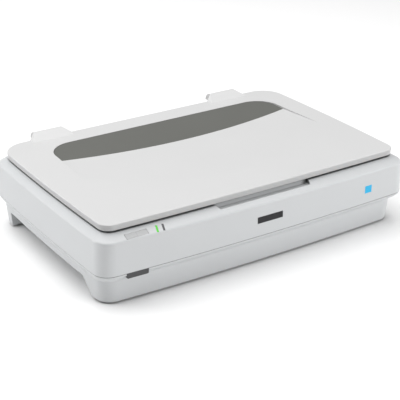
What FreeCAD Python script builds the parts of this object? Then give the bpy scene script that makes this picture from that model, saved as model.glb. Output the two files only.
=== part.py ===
import FreeCAD, Part
import math
import os
from collections import namedtuple

# Large-format flatbed document scanner with a lift-off hinged lid.
# Millimetres. X to the right, -Y to the front, +Z up. The origin is on the
# floor, under the centre of the whole outline.

# ---------------------------------------------------------- scan area, housing
SCAN_LENGTH = 437.0       # along X
SCAN_WIDTH = 310.0        # along Y
END_SPACE = 109.5         # housing beyond the scan area, left and right
FRONT_SPACE = 66.0
REAR_SPACE = 61.0
SCAN_SHIFT = -8.0         # scan area's middle from the centre line
HINGE_OVERHANG = 21.0     # hinge humps behind the rear wall
HEIGHT = 158.0            # floor to the top of the hinge humps
FRONT_BOW = 8.2           # how far the base front bulges at its middle
SIDE_BOW = 4.2
SIDE_DRAFT = 3.0          # side walls stand out by this at the parting
CORNER_R = 29.0
REAR_CORNER_R = 36.0
WALL = 2.5
PARTING_Z = 64.0          # joint between the lower and the upper housing
SHOULDER_DROP = 9.0       # bevel between the deck edge and the walls
SHOULDER_R = 4.0
BEVEL_FRONT = 22.0        # bevel width at the front, sides and rear
BEVEL_SIDE = 15.0
BEVEL_REAR = 9.0
BEVEL_START = 1.0         # inner bevel starts this much under the outer one
BOSS_R = 4.5

# -------------------------------------------------------------- lower housing
SEAM_HEIGHT = 1.0         # dark line at the parting
LIP_INSET = 0.5
LIP_Z = 60.0              # bottom of the upright lip under the parting
LIP_R = 3.0
COVE_Z = 45.0             # lip's underside runs in to the walls down to here
COVE_FRONT = 18.0         # wall insets there
COVE_SIDE = 10.0
COVE_REAR = 11.9
BASE_FRONT = 21.0         # wall insets at the floor
BASE_SIDE = 13.5
BASE_REAR = 21.0
SKIRT_Z = 4.0             # underside of the front skirt and the rear feet
ARCH_Z = 33.0             # underside between them
ARCH_R = 6.0
SKIRT_FLAT = 67.0         # front skirt: flat bottom, then a ramp up
SKIRT_RAMP = 26.0
REAR_FOOT_DEPTH = 50.0
REAR_FOOT_WIDTH = 77.5
TONGUE = 1.5              # locating tongue inside the upper housing
TONGUE_RISE = 3.0
PAD_R = 8.5               # rubber feet
PAD_HEIGHT = 6.0
PAD_FROM_SIDE = 46.0
PAD_FROM_FRONT = 44.0
PAD_FROM_REAR = 34.0

# ------------------------------------------------------------- housing screws
SCREW_R = 1.5
SCREW_HEAD_R = 3.0
SCREW_HEAD = 2.4
SCREW_GRIP = 6.0          # lower boss wall that the head pulls on
SCREW_BITE = 12.0
SCREW_FROM_SIDE = 22.0
SCREW_ROWS = (-178.0, -40.0, 120.0)
SCREW_FRONT = 28.0        # pair behind the front wall
SCREW_FRONT_X = 130.0

# ------------------------------------------------------------------------ lid
LID_GAP = 4.5             # shadow gap between deck and lid
LID_EDGE = 11.2           # height of the lid's skirt
LID_PROUD = 0.5           # lid foot outside the deck edge
LID_REAR = 7.0            # lid's rear edge ahead of the rear wall
LID_FLARE = 1.5           # the skirt leans out by this
LID_TOP_R = 2.5
LID_WALL = 2.2
LID_BOW = 4.3
LID_CORNER_R = 21.0
LID_REAR_CORNER_R = 46.0
HUMP_RISE = 9.3           # humps above the lid top
HUMP_TOP = 60.0           # hump width at its top and foot
HUMP_FOOT = 88.0
HUMP_SLOPE = 26.0         # run of its front slope
HUMP_R = 3.5
HINGE_FROM_SIDE = 126.5   # hinge middle from the housing side
HINGE_SHIFT = -3.5        # both hinges, off the centre line
DISH_DEPTH = 5.8          # lid dish at the foot of the crescent, in the middle
DISH_END_DEPTH = 3.4      # and where that foot meets the sides
DISH_SHIFT = 11.5          # dish centre, off the centre line
DISH_FROM_SIDE = 75.0     # dish side at the crescent from the housing side
DISH_SPLAY = 12.0         # each side stands this much further out in front
DISH_REAR = 54.0          # crescent's rear edge from the rear wall
DISH_CORNER_R = 50.0
CRESCENT_END = 68.0       # crescent, front to rear, at its ends
CRESCENT_MID = 96.0       # and in the middle
DISH_LENGTH = 190.0       # from the crescent's foot to the dish's front
PANEL = 1.2               # crescent panel
PANEL_GAP = 0.4
PANEL_SUNK = 0.3

# ------------------------------------------------------------- inside the lid
COVER = 1.5               # inner cover
COVER_Z = 0.2             # its underside above the skirt's edge
MAT_MARGIN = 12.0         # document mat around the window
MAT_LIFT = 0.3            # closed mat above the deck
LID_SCREW_FROM_SIDE = 42.0
LID_SCREW_HEAD = 1.2
LID_SCREW_ROWS = (-190.0, -20.0, 140.0)
BUMPER_R = 5.0
BUMPER_FROM_SIDE = 30.0
BUMPER_ROWS = (-165.0, 110.0)

# --------------------------------------------------------------------- hinges
AXIS_BACK = 4.0           # hinge axis behind the rear wall
SKIRT_EDGE = 4.0          # degrees above the axis where the hump's rear ends
KNUCKLE_R = 6.5
KNUCKLE = 16.0            # knuckle length
PIN_R = 2.5
EAR = 3.0                 # lid-side ears
EAR_R = 7.0
EAR_GAP = 4.0             # knuckle to ear, holds the spring
EAR_HEIGHT = 7.0
BRACKET_REACH = 25.0      # bracket plate, ahead of the lid's rear skirt
BRACKET_WIDTH = 44.0
BRACKET = 2.0
POST_WIDTH = 30.0
POST = 5.0                # blade thickness
POST_Z = 50.0             # foot of the blade
NECK_TOP = 8.0            # blade shoulder under the axis
SOCKET_TOP = 11.0         # socket's mouth under the deck
SOCKET_BOTTOM = 46.0
SOCKET_WIDTH = 44.0
SOCKET = 11.5             # depth behind the rear wall
SOCKET_R = 2.0
SOCKET_SCREW_ROWS = (10.0, 48.0)    # under the socket's mouth
SPRING_WIRE = 0.5
SPRING_R = 4.2
SPRING_TURNS = 2
COIL_STEPS = 8            # sections in each turn of a spring

# ------------------------------------------------------------ glass and deck
DECK = 2.5
WINDOW_MARGIN = 3.5
GLASS = 3.0
GLASS_LIP = 1.0           # deck lip over the edge of the glass
GLASS_LAP = 6.0
STRIP = 12.0              # scale strips on the deck beside the window
STRIP_THICK = 0.6
STRIP_GAP = 1.0           # deck left between a strip and the window
CAL_THICK = 1.2           # white calibration strip under the deck

# ------------------------------------------------------------------- carriage
HOME_OFFSET = 13.0        # home position beyond the first scan line
CAR_WIDTH = 96.0
CAR_HEIGHT = 50.0
CAR_WALL = 2.0
CAR_FRONT = 5.5           # carriage beyond the window, front and rear
CAR_REAR = 11.5
CAR_DROP = 4.5            # top of the carriage under the glass
SLOT = 30.0               # opening over the light bars
SLOT_RIM = 8.0            # cover left at each end of it
LIGHT_BAR = 7.0
LIGHT_BAR_HIGH = 5.0
LIGHT_GAP = 6.0           # slit between the two light bars
MIRROR = 3.0
MIRROR_WIDTH = 12.0
# each mirror's x from the carriage's middle, height in the tray, lean in degrees
MIRRORS = [(0.0, 12.0, 45.0), (38.0, 22.0, 100.0), (-36.0, 30.0, 80.0)]
LENS_R = 9.0
LENS_LENGTH = 18.0
LENS_X = 9.0              # barrel's start right of the carriage's middle
LENS_UP = 4.0             # barrel above the tray's floor
LENS_RIM = 3.0            # rim around the sunk glass
LENS_SUNK = 2.0
LENS_HOLDER = 12.0        # length and wall of the block that holds it
LENS_HOLDER_WALL = 3.0
SENSOR_X = -14.0          # face of the sensor's board
SENSOR_BOARD = 1.6
SENSOR_BOARD_HALF = 55.0
SENSOR_BOARD_UP = 12.0    # its top above the lens axis
SENSOR = (4.0, 38.0, 4.0)    # thickness, half length, half height

# ---------------------------------------------------------------- guide, rail
ROD_R = 5.0
ROD_UP = 15.5             # rod above the carriage's underside
ROD_BACK = 29.5           # rod ahead of the upper housing's rear wall inside
BUSH = 3.0
BUSH_LENGTH = 20.0
BUSH_OUT = 30.0           # bush middle from the carriage's middle
BUSH_WALL = 1.5
ROD_PLATE = 2.0
ROD_PLATE_FROM_SIDE = 28.0
ROD_PLATE_HALF = 9.0
ROD_PLATE_TOP = 8.0
ROD_OUT = 4.0
FOOT_LENGTH = 8.0         # brackets' feet on the floor
RAIL_WIDTH = 14.0
RAIL = 4.0
RAIL_UP = 5.5             # rail top above the carriage's underside
RAIL_FRONT = 7.0          # rail ahead of the carriage
RAIL_END = 28.0           # rail's end from the housing side
RIB = 3.0
RIBS = 5
SHOE = 4.0
SHOE_LENGTH = 28.0
ARM = 6.0                 # arm over the rail

# ---------------------------------------------------------------- belt, drive
BELT_WIDTH = 6.0
BELT = 1.2
BELT_IN = 7.3             # belt middle ahead of the rear wall inside
BELT_DROP = 6.0           # pulley axes under the rod
DRUM_R = 9.0
FLANGE = 0.8
FLANGE_R = 11.5
SHAFT_R = 2.5
IDLER_FROM_SIDE = 42.0
DRIVE_FROM_SIDE = 55.5
MODULE = 0.8
GEAR_TEETH = 60
PINION_TEETH = 15
PRESSURE_ANGLE = math.radians(20)
BACKLASH = 0.16
CENTRE_EASE = 0.1
GEAR_ADDENDUM = 0.85      # times the module, short so the tips clear
ADDENDUM = 1.0
DEDENDUM = 1.25
FLANK_STEPS = 5
GEAR_WIDTH = 5.6
GEAR_RIM = 4.0            # pitch circle to the sunk web
WEB_SUNK = 1.5
GEAR_SPACE = 1.0          # gear to the pulley's flange
PLATE = 2.0               # motor plate, idler bracket
PLATE_GAP = 0.7           # gear off the motor plate
MOTOR = 35.0              # square of the motor
MOTOR_LENGTH = 34.0
MOTOR_R = 11.0            # its front boss
MOTOR_BOSS = 1.5
MOTOR_SHAFT_R = 2.0
IDLER_HALF = 6.0
IDLER_STUD_R = 4.0
IDLER_FOOT = 12.0         # bracket's foot, front to rear
IDLER_TAB = 10.0          # height of its tab for the spring
TENSION_R = 3.0
TENSION_WIRE = 0.6
TENSION_LENGTH = 24.0
TENSION_TURNS = 8
TENSION_POST = 8.0        # moulded post for its far end
TENSION_POST_HIGH = 10.0
JAW = 3.0                 # belt clamp
CLAMP_LENGTH = 20.0

# ---------------------------------------------------------------- electronics
STANDOFF = 5.0
STANDOFF_R = 3.0
BOARD = 1.6
MAIN_BOARD = (-60.0, 110.0, -100.0, 20.0)
POWER_BOARD = (0.0, 150.0, 45.0, 135.0)
# blocks on the boards: x and y from the corner, length, width, height
MAIN_BLOCKS = [(60, 45, 28, 28, 2.2), (105, 50, 20, 20, 1.8), (105, 82, 22, 10, 1.2),
               (60, 86, 22, 10, 1.2), (25, 40, 14, 8, 1.6), (25, 60, 14, 8, 1.6),
               (4, 20, 5, 26, 6), (4, 70, 5, 20, 8), (60, 108, 30, 6, 8),
               (100, 108, 24, 6, 8), (161, 40, 6, 34, 9)]
HEAT_SINK_X = 130.0
HEAT_SINK_Y = 14.0
HEAT_SINK = (24.0, 3.0, 10.0)    # its square, base thickness and height
FIN = 2.0
FINS = 6
POWER_BLOCKS = [(70, 15, 34, 30, 22), (115, 15, 22, 18, 14), (20, 58, 8, 22, 14),
                (60, 62, 40, 4, 18)]
CANS = [(30, 20), (46, 20), (30, 36)]
CAN_R = 6.0
CAN_HEIGHT = 18.0
RIBBON_WIDTH = 20.0
RIBBON = 0.4
RIBBON_Y = -128.0
RIBBON_R = 14.0
RIBBON_SPARE = 15.0       # floor run left with the carriage at its far end
HOOK = 2.0                # moulded hooks over the ribbon
HOOK_LENGTH = 8.0
RIBBON_TURN = 22.0        # turn left of the carriage's middle
RIBBON_END = 14.0         # carriage's plug right of its middle
RIBBON_SOCKET = 8.0

# ----------------------------------------------------------------- rear panel
PANEL_X = (20.0, 165.0)   # opening in the rear wall
PANEL_Z = (35.5, 57.0)
PANEL_LAP = 4.0
PANEL_PLATE = 1.5
INLET_X = 138.0
INLET = (27.0, 19.5)
INLET_MOUTH = (24.3, 16.2)
INLET_RIM = (31.0, 21.0)
INLET_FLANGE = 2.5
INLET_DEPTH = 18.0
INLET_BACK = 22.0
INLET_PIN = (2.0, 4.0)
INLET_PITCH = 7.0         # line and neutral from the middle
INLET_EARTH = 4.0         # earth pin above them
USB_X = 94.0
USB = (12.0, 11.0)
USB_MOUTH = (8.5, 7.8)
USB_TONGUE = (5.6, 3.2)
OPTION_X = 50.0
OPTION = (38.0, 11.0)
OPTION_MOUTH = (28.0, 7.0)
OPTION_TONGUE = (24.0, 2.0)
PORT_DEPTH = 9.0
PORT_BACK = 14.0
PORT_PROUD = 1.0
TONGUE_SUNK = 1.5         # contact tongue behind the mouth

# ------------------------------------------------------------- front controls
BUTTON_X = -257.0         # middle of the pair
BUTTON = (20.3, 10.4)
BUTTON_LOW = 2.8          # controls sit this far below the bevel's middle
BUTTON_THICK = 5.2
BUTTON_LAP = 0.8          # flange behind the bevel
BUTTON_FLANGE = 1.0
BUTTON_STEM_R = 2.0
BUTTON_TRAVEL = 0.8
LIGHT = (3.6, 14.5)
POWER_LIGHT_X = -219.0
ERROR_LIGHT_X = -207.0
LIGHT_LEAN = 15.0         # degrees
LIGHT_DEEP = 5.0
CONTROL_BOARD = (-286.0, -196.0)
CONTROL_DEPTH = 11.0      # board's face under the bevel
CONTROL_WIDTH = 14.0
CONTROL_POST_R = 2.5
SWITCH = 6.0
SWITCH_HIGH = 2.6
LAMP = 3.0
SCOOP = (-92.0, 100.0)    # finger recess in the front bevel
SCOOP_SPLAY = 7.0
SCOOP_EDGE = 12.5         # its lower edge behind the front
SCOOP_DIP = 6.5           # floor under the deck
SCOOP_DEPTH = 33.0
SCOOP_BACK = 6.0
BADGE_X = 4.0
BADGE = (54.0, 12.0)
BADGE_Z = 94.3
BADGE_THICK = 1.2
LABEL_X = 230.5
LABEL = (16.0, 14.5)
LABEL_Z = 91.0
LABEL_THICK = 0.2
LOCK_X = (-281.0, -239.5)   # notch for the transport lock's pull tab
LOCK_Z = 53.5
LOCK_R = 3.0
LOCK_DEPTH = 10.3
LOCK_PLATE = 2.0
LOCK_TOP = 8.0            # its upright above the parting
LOCK_REACH = 56.0         # tongue reaches under the carriage
LOCK_TONGUE = 8.0

FIT = 0.3                 # clearance between separate parts
RUN = 0.05                # radial clearance of a shaft in a bore
SEAM = 0.2                # visible seam around an inlaid part
REACH = 10.0              # cutters of the lid's dish run this far past it
SAME = 0.01               # edges this close in height lie level

V = FreeCAD.Vector
X_AXIS = V(1, 0, 0)
Y_AXIS = V(0, 1, 0)
Z_AXIS = V(0, 0, 1)
Plan = namedtuple("Plan", "half front rear bow_front bow_side r_front r_rear inset")

# ------------------------------------------------------------- derived places
WIDTH = SCAN_LENGTH + 2 * END_SPACE
HOUSING_DEPTH = SCAN_WIDTH + FRONT_SPACE + REAR_SPACE
SIDE = WIDTH / 2
FRONT_Y = -(HOUSING_DEPTH + HINGE_OVERHANG) / 2
REAR_Y = FRONT_Y + HOUSING_DEPTH
LID_TOP_Z = HEIGHT - HUMP_RISE
LID_Z = LID_TOP_Z - LID_EDGE
DECK_Z = LID_Z - LID_GAP
SHOULDER_Z = DECK_Z - SHOULDER_DROP
FLOOR_Z = ARCH_Z + WALL
REAR_INSIDE = REAR_Y - WALL

BASE_PLAN = Plan(SIDE, FRONT_Y, REAR_Y, FRONT_BOW, SIDE_BOW, CORNER_R, REAR_CORNER_R, 0)
PARTING_PLAN = BASE_PLAN._replace(half=SIDE + SIDE_DRAFT)
COVE_PLAN = BASE_PLAN._replace(half=PARTING_PLAN.half - COVE_SIDE, front=FRONT_Y + COVE_FRONT,
                               rear=REAR_Y - COVE_REAR, r_rear=REAR_CORNER_R - COVE_REAR)
FOOT_PLAN = BASE_PLAN._replace(half=PARTING_PLAN.half - BASE_SIDE, front=FRONT_Y + BASE_FRONT,
                               rear=REAR_Y - BASE_REAR, r_rear=REAR_CORNER_R - BASE_REAR)
DECK_PLAN = Plan(SIDE - BEVEL_SIDE, FRONT_Y + BEVEL_FRONT, REAR_Y - BEVEL_REAR,
                 LID_BOW, SIDE_BOW, LID_CORNER_R, REAR_CORNER_R, 0)
LID_PLAN = Plan(DECK_PLAN.half + LID_PROUD, DECK_PLAN.front - LID_PROUD, REAR_Y - LID_REAR,
                LID_BOW, SIDE_BOW, LID_CORNER_R, LID_REAR_CORNER_R, 0)

SCAN_X0 = SCAN_SHIFT - SCAN_LENGTH / 2
SCAN_X1 = SCAN_SHIFT + SCAN_LENGTH / 2
SCAN_Y0 = FRONT_Y + FRONT_SPACE
SCAN_Y1 = SCAN_Y0 + SCAN_WIDTH
WINDOW = (SCAN_X0 - WINDOW_MARGIN, SCAN_X1 + WINDOW_MARGIN,
          SCAN_Y0 - WINDOW_MARGIN, SCAN_Y1 + WINDOW_MARGIN)
GLASS_TOP = DECK_Z - GLASS_LIP
GLASS_Z = GLASS_TOP - GLASS

HOME_X = SCAN_X0 - HOME_OFFSET
TRAVEL = SCAN_X1 - HOME_X
CAR_TOP = GLASS_Z - CAR_DROP
CAR_Z = CAR_TOP - CAR_HEIGHT
CAR_Y = (WINDOW[2] - CAR_FRONT, WINDOW[3] + CAR_REAR)
ROD_Y = REAR_INSIDE - ROD_BACK
ROD_Z = CAR_Z + ROD_UP
ROD_PLATE_X = SIDE - ROD_PLATE_FROM_SIDE
RAIL_Y = CAR_Y[0] - RAIL_FRONT - RAIL_WIDTH / 2
RAIL_Z = CAR_Z + RAIL_UP

BELT_Y = REAR_INSIDE - BELT_IN
BELT_Z = ROD_Z - BELT_DROP
BELT_R = DRUM_R + FIT
IDLER_X = -SIDE + IDLER_FROM_SIDE
DRIVE_X = SIDE - DRIVE_FROM_SIDE
PULLEY_Y = BELT_Y - BELT_WIDTH / 2 - FIT - FLANGE
GEAR_Y = PULLEY_Y - GEAR_SPACE - GEAR_WIDTH
PLATE_Y = GEAR_Y - PLATE_GAP - PLATE
GEAR_CENTRES = MODULE * (GEAR_TEETH + PINION_TEETH) / 2 + CENTRE_EASE
MOTOR_Z = BELT_Z - GEAR_CENTRES

RIBBON_Z = FLOOR_Z + FIT
RIBBON_FOLD_X = HOME_X - RIBBON_TURN
RIBBON_X1 = RIBBON_FOLD_X + TRAVEL / 2 + RIBBON_SPARE

AXIS_Y = REAR_Y + AXIS_BACK
AXIS_R = HINGE_OVERHANG - AXIS_BACK
AXIS_Z = HEIGHT - AXIS_R
HINGE_XS = (HINGE_SHIFT - SIDE + HINGE_FROM_SIDE, HINGE_SHIFT + SIDE - HINGE_FROM_SIDE)

COVER_BOTTOM = LID_Z + COVER_Z
DISH_HALF = SIDE - DISH_FROM_SIDE
DISH_BACK = REAR_Y - DISH_REAR
FOOT_Y = DISH_BACK - CRESCENT_MID
CRESCENT_SLOPE = DISH_DEPTH / CRESCENT_MID
DISH_SLOPE = DISH_DEPTH / DISH_LENGTH


# --------------------------------------------------------------- basic shapes
def inset(plan, d):
    """The plan outline moved inwards by d."""
    return plan._replace(inset=plan.inset + d)


def bow_radius(chord, rise):
    return (chord ** 2 + rise ** 2) / (2 * rise)


def front_at(plan, x):
    """Y of the bowed front at x."""
    r = bow_radius(plan.half, plan.bow_front)
    inner = r - plan.inset
    return plan.front + r - math.sqrt(inner ** 2 - x * x)


def outline(plan, z):
    """Closed wire: bowed front and sides, straight rear, tangent corner arcs."""
    d = plan.inset
    half_depth = (plan.rear - plan.front) / 2
    rf = bow_radius(plan.half, plan.bow_front)
    rs = bow_radius(half_depth, plan.bow_side)
    front = V(0, plan.front + rf, z)
    side = V(plan.half - rs, plan.front + half_depth, z)
    # front corner's centre: inside both of the large circles
    a = rf - plan.r_front
    b = rs - plan.r_front
    between = side - front
    t = (a * a - b * b + between.Length ** 2) / (2 * between.Length)
    along = between.normalize()
    corner = front + along * t - V(along.y, -along.x, 0) * math.sqrt(a * a - t * t)
    # rear corner's centre: inside the side's circle, tangent to the rear edge
    y = plan.rear - plan.r_rear
    rear_corner = V(side.x + math.sqrt((rs - plan.r_rear) ** 2 - (y - side.y) ** 2), y, z)

    def out(centre, direction, radius):
        return centre + direction.normalize() * (radius - d)

    def left(p):
        return V(-p.x, p.y, z)

    front_end = out(front, corner - front, rf)
    front_mid = out(corner, V(1, -1, 0), plan.r_front)
    side_low = out(side, corner - side, rs)
    side_mid = V(plan.half - d, side.y, z)
    side_high = out(side, rear_corner - side, rs)
    rear_mid = out(rear_corner, V(1, 1, 0), plan.r_rear)
    rear_end = V(rear_corner.x, plan.rear - d, z)
    arcs = [(left(front_end), V(0, plan.front + d, z), front_end),
            (front_end, front_mid, side_low),
            (side_low, side_mid, side_high),
            (side_high, rear_mid, rear_end),
            (left(rear_end), left(rear_mid), left(side_high)),
            (left(side_high), left(side_mid), left(side_low)),
            (left(side_low), left(front_mid), left(front_end))]
    edges = [Part.Arc(*arc).toShape() for arc in arcs]
    edges.insert(4, Part.makeLine(rear_end, left(rear_end)))
    return Part.Wire(edges)


def slab(plan, z0, z1):
    return Part.Face(outline(plan, z0)).extrude(V(0, 0, z1 - z0))


def taper(plan0, z0, plan1, z1):
    return Part.makeLoft([outline(plan0, z0), outline(plan1, z1)], True, True)


def box(x0, x1, y0, y1, z0, z1):
    return Part.makeBox(x1 - x0, y1 - y0, z1 - z0, V(x0, y0, z0))


def post_z(x, y, r, z0, z1):
    return Part.makeCylinder(r, z1 - z0, V(x, y, z0), Z_AXIS)


def rod_x(y, z, r, x0, x1):
    return Part.makeCylinder(r, x1 - x0, V(x0, y, z), X_AXIS)


def rod_y(x, z, r, y0, y1):
    return Part.makeCylinder(r, y1 - y0, V(x, y0, z), Y_AXIS)


def prism_x(points, x0, x1):
    """Extrude a (y, z) polygon along X."""
    ring = [V(x0, y, z) for y, z in points]
    return Part.Face(Part.makePolygon(ring + ring[:1])).extrude(V(x1 - x0, 0, 0))


def prism_y(points, y0, y1):
    """Extrude an (x, z) polygon along Y."""
    ring = [V(x, y0, z) for x, z in points]
    return Part.Face(Part.makePolygon(ring + ring[:1])).extrude(V(0, y1 - y0, 0))


def prism_z(points, z0, z1):
    """Extrude an (x, y) polygon along Z."""
    ring = [V(x, y, z0) for x, y in points]
    return Part.Face(Part.makePolygon(ring + ring[:1])).extrude(V(0, 0, z1 - z0))


def level_edges(shape, z):
    """Edges that lie in the plane at height z."""
    return [e for e in shape.Edges
            if abs(e.BoundBox.ZMin - z) < SAME and abs(e.BoundBox.ZMax - z) < SAME]


def edges_along(shape, axis):
    """Straight edges parallel to an axis."""
    found = []
    for e in shape.Edges:
        if isinstance(e.Curve, (Part.Line, Part.LineSegment)):
            direction = (e.Vertexes[-1].Point - e.Vertexes[0].Point).normalize()
            if abs(direction.dot(axis)) > 0.999:
                found.append(e)
    return found


def coil(start, axis, radius, pitch, turns, wire):
    """Helical spring that starts at a point and runs along an axis."""
    steps = COIL_STEPS * turns
    rings = []
    for i in range(steps + 1):
        halves = [Part.makeCircle(wire, V(radius, 0, 0), Y_AXIS, a, a + 180) for a in (0, 180)]
        ring = Part.Wire(halves)
        ring.rotate(V(0, 0, 0), Z_AXIS, 360 * turns * i / steps)
        ring.translate(V(0, 0, pitch * turns * i / steps))
        rings.append(ring)
    spring = Part.makeLoft(rings, True, False)
    spring.Placement = FreeCAD.Placement(start, FreeCAD.Rotation(Z_AXIS, axis))
    return spring


def group(solids):
    return Part.makeCompound(solids)


def export(name, shape):
    shape.exportStep("parts/" + name + ".step")


# ---------------------------------------------------------------- screw places
def screw_places():
    side = SIDE - SCREW_FROM_SIDE
    front = FRONT_Y + SCREW_FRONT
    row = [(x, front) for x in (-SCREW_FRONT_X, SCREW_FRONT_X)]
    return row + [(x, y) for y in SCREW_ROWS for x in (-side, side)]


def lid_screw_places():
    side = SIDE - LID_SCREW_FROM_SIDE
    return [(x, y) for y in LID_SCREW_ROWS for x in (-side, side)]


def socket_screw_places():
    mouth = DECK_Z - SOCKET_TOP
    out = (SOCKET_WIDTH + POST_WIDTH) / 4 + FIT / 2
    return [(x + s * out, mouth - drop) for x in HINGE_XS for s in (-1, 1)
            for drop in SOCKET_SCREW_ROWS]


# --------------------------------------------------------------- upper housing
def upright_walls():
    """Block inside the upper housing's walls, wider at the parting by the draft."""
    return taper(PARTING_PLAN, PARTING_Z, BASE_PLAN, SHOULDER_Z)


def upper_block():
    solid = upright_walls()
    solid = solid.fuse(taper(BASE_PLAN, SHOULDER_Z, DECK_PLAN, DECK_Z)).removeSplitter()
    return solid.makeFillet(SHOULDER_R, level_edges(solid, SHOULDER_Z))


def upper_cavity():
    inner = inset(BASE_PLAN, WALL)
    start = SHOULDER_Z - BEVEL_START
    lower = taper(inset(PARTING_PLAN, WALL), PARTING_Z, inner, start)
    return lower.fuse(taper(inner, start, inset(DECK_PLAN, WALL), DECK_Z - DECK))


def bevel_place(x):
    """Placement on the front bevel: local Y up the slope, local Z outwards."""
    low = front_at(BASE_PLAN, x)
    high = front_at(DECK_PLAN, x)
    lean = math.degrees(math.atan2(SHOULDER_DROP, high - low))
    middle = V(x, (low + high) / 2, (SHOULDER_Z + DECK_Z) / 2)
    return FreeCAD.Placement(middle, FreeCAD.Rotation(X_AXIS, lean))


def on_bevel(shape, x):
    placed = shape.copy()
    placed.Placement = bevel_place(x).multiply(placed.Placement)
    return placed


def scoop(grow):
    """Finger recess under the lid's front edge, or its skin when grown."""
    floor = DECK_Z - SCOOP_DIP - grow
    lip_y = FRONT_Y + SCOOP_EDGE
    lip_z = SHOULDER_Z + SHOULDER_DROP * SCOOP_EDGE / BEVEL_FRONT - grow
    back = FRONT_Y + SCOOP_DEPTH + grow
    top = DECK_Z + 2 * WALL
    far = FRONT_Y - WALL
    profile = [(far, lip_z), (lip_y, lip_z), (lip_y + SCOOP_BACK, floor),
               (back - SCOOP_BACK, floor), (back, DECK_Z - grow), (back, top), (far, top)]
    x0, x1 = SCOOP
    plan = [(x0 - grow, far), (x1 + grow, far), (x1 + grow, lip_y),
            (x1 + grow + SCOOP_SPLAY, back), (x0 - grow - SCOOP_SPLAY, back), (x0 - grow, lip_y)]
    reach = SCOOP_SPLAY + grow + WALL
    return prism_x(profile, x0 - reach, x1 + reach).common(prism_z(plan, floor - WALL, top + WALL))


def control_holes():
    """Cutters through the bevel for the button pair and the two light bars."""
    half = FIT / 2 + BUTTON[0] + FIT
    tall = BUTTON[1] / 2 + FIT
    pair = box(-half, half, -BUTTON_LOW - tall, -BUTTON_LOW + tall, -2 * WALL, 2 * WALL)
    cutters = [on_bevel(pair, BUTTON_X)]
    for x in (POWER_LIGHT_X, ERROR_LIGHT_X):
        cutters.append(on_bevel(light_bar_blank(SEAM / 2, -2 * WALL), x))
    return cutters


def light_bar_blank(grow, bottom):
    w = LIGHT[0] / 2 + grow
    h = LIGHT[1] / 2 + grow
    bar = box(-w, w, -h, h, bottom, 2 * WALL)
    lean = FreeCAD.Rotation(Z_AXIS, -LIGHT_LEAN)
    bar.Placement = FreeCAD.Placement(V(0, -BUTTON_LOW, 0), lean)
    return bar


def badge_box(grow):
    w = BADGE[0] / 2 + grow
    h = BADGE[1] / 2 + grow
    return box(BADGE_X - w, BADGE_X + w, FRONT_Y - grow, FRONT_Y + BADGE_THICK,
               BADGE_Z - h, BADGE_Z + h)


def strip_boxes(grow):
    """Scale strips on the deck: along the window's front and its left edge."""
    x0, x1, y0, y1 = WINDOW
    z0 = DECK_Z - STRIP_THICK
    z1 = DECK_Z + grow
    front = box(x0 - grow, x1 + grow, y0 - STRIP_GAP - STRIP - grow, y0 - STRIP_GAP + grow, z0, z1)
    side = box(x0 - STRIP_GAP - STRIP - grow, x0 - STRIP_GAP + grow, y0 - grow, y1 + grow, z0, z1)
    return front, side


def glass_pocket(grow):
    x0, x1, y0, y1 = WINDOW
    lap = GLASS_LAP + grow
    return box(x0 - lap, x1 + lap, y0 - lap, y1 + lap, GLASS_Z - grow, GLASS_TOP)


def upper_housing():
    cavity = upper_cavity()
    room = cavity.cut(scoop(WALL))
    columns = [post_z(x, y, BOSS_R, PARTING_Z, DECK_Z) for x, y in screw_places()]
    room = room.cut(columns)
    shell = upper_block().cut(room)
    pilots = [post_z(x, y, SCREW_R, PARTING_Z, PARTING_Z + SCREW_BITE) for x, y in screw_places()]
    x0, x1, y0, y1 = WINDOW
    window = box(x0, x1, y0, y1, GLASS_Z, DECK_Z + WALL)
    cutters = [window, glass_pocket(FIT), scoop(0), badge_box(SEAM), *strip_boxes(SEAM / 2)]
    cutters += control_holes() + pilots
    cutters += [rod_y(x, z, SCREW_R, REAR_INSIDE - WALL, REAR_Y + WALL)
                for x, z in socket_screw_places()]
    return shell.cut(cutters).fuse(control_board_posts())


def badge_plate():
    return badge_box(0)


def square_label():
    """Thin square label on the bowed front wall."""
    w = LABEL[0] / 2
    h = LABEL[1] / 2
    outer = BASE_PLAN._replace(front=FRONT_Y - LABEL_THICK)
    keep = box(LABEL_X - w, LABEL_X + w, FRONT_Y - WALL, FRONT_Y + 2 * FRONT_BOW,
               LABEL_Z - h, LABEL_Z + h)
    return keep.common(slab(outer, LABEL_Z - h, LABEL_Z + h)).cut(upright_walls())


def glass():
    return glass_pocket(0)


def calibration_strip():
    x1 = WINDOW[0] - GLASS_LAP - FIT - 1
    z1 = DECK_Z - DECK
    return box(x1 - STRIP, x1, SCAN_Y0, SCAN_Y1, z1 - CAL_THICK, z1)


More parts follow.
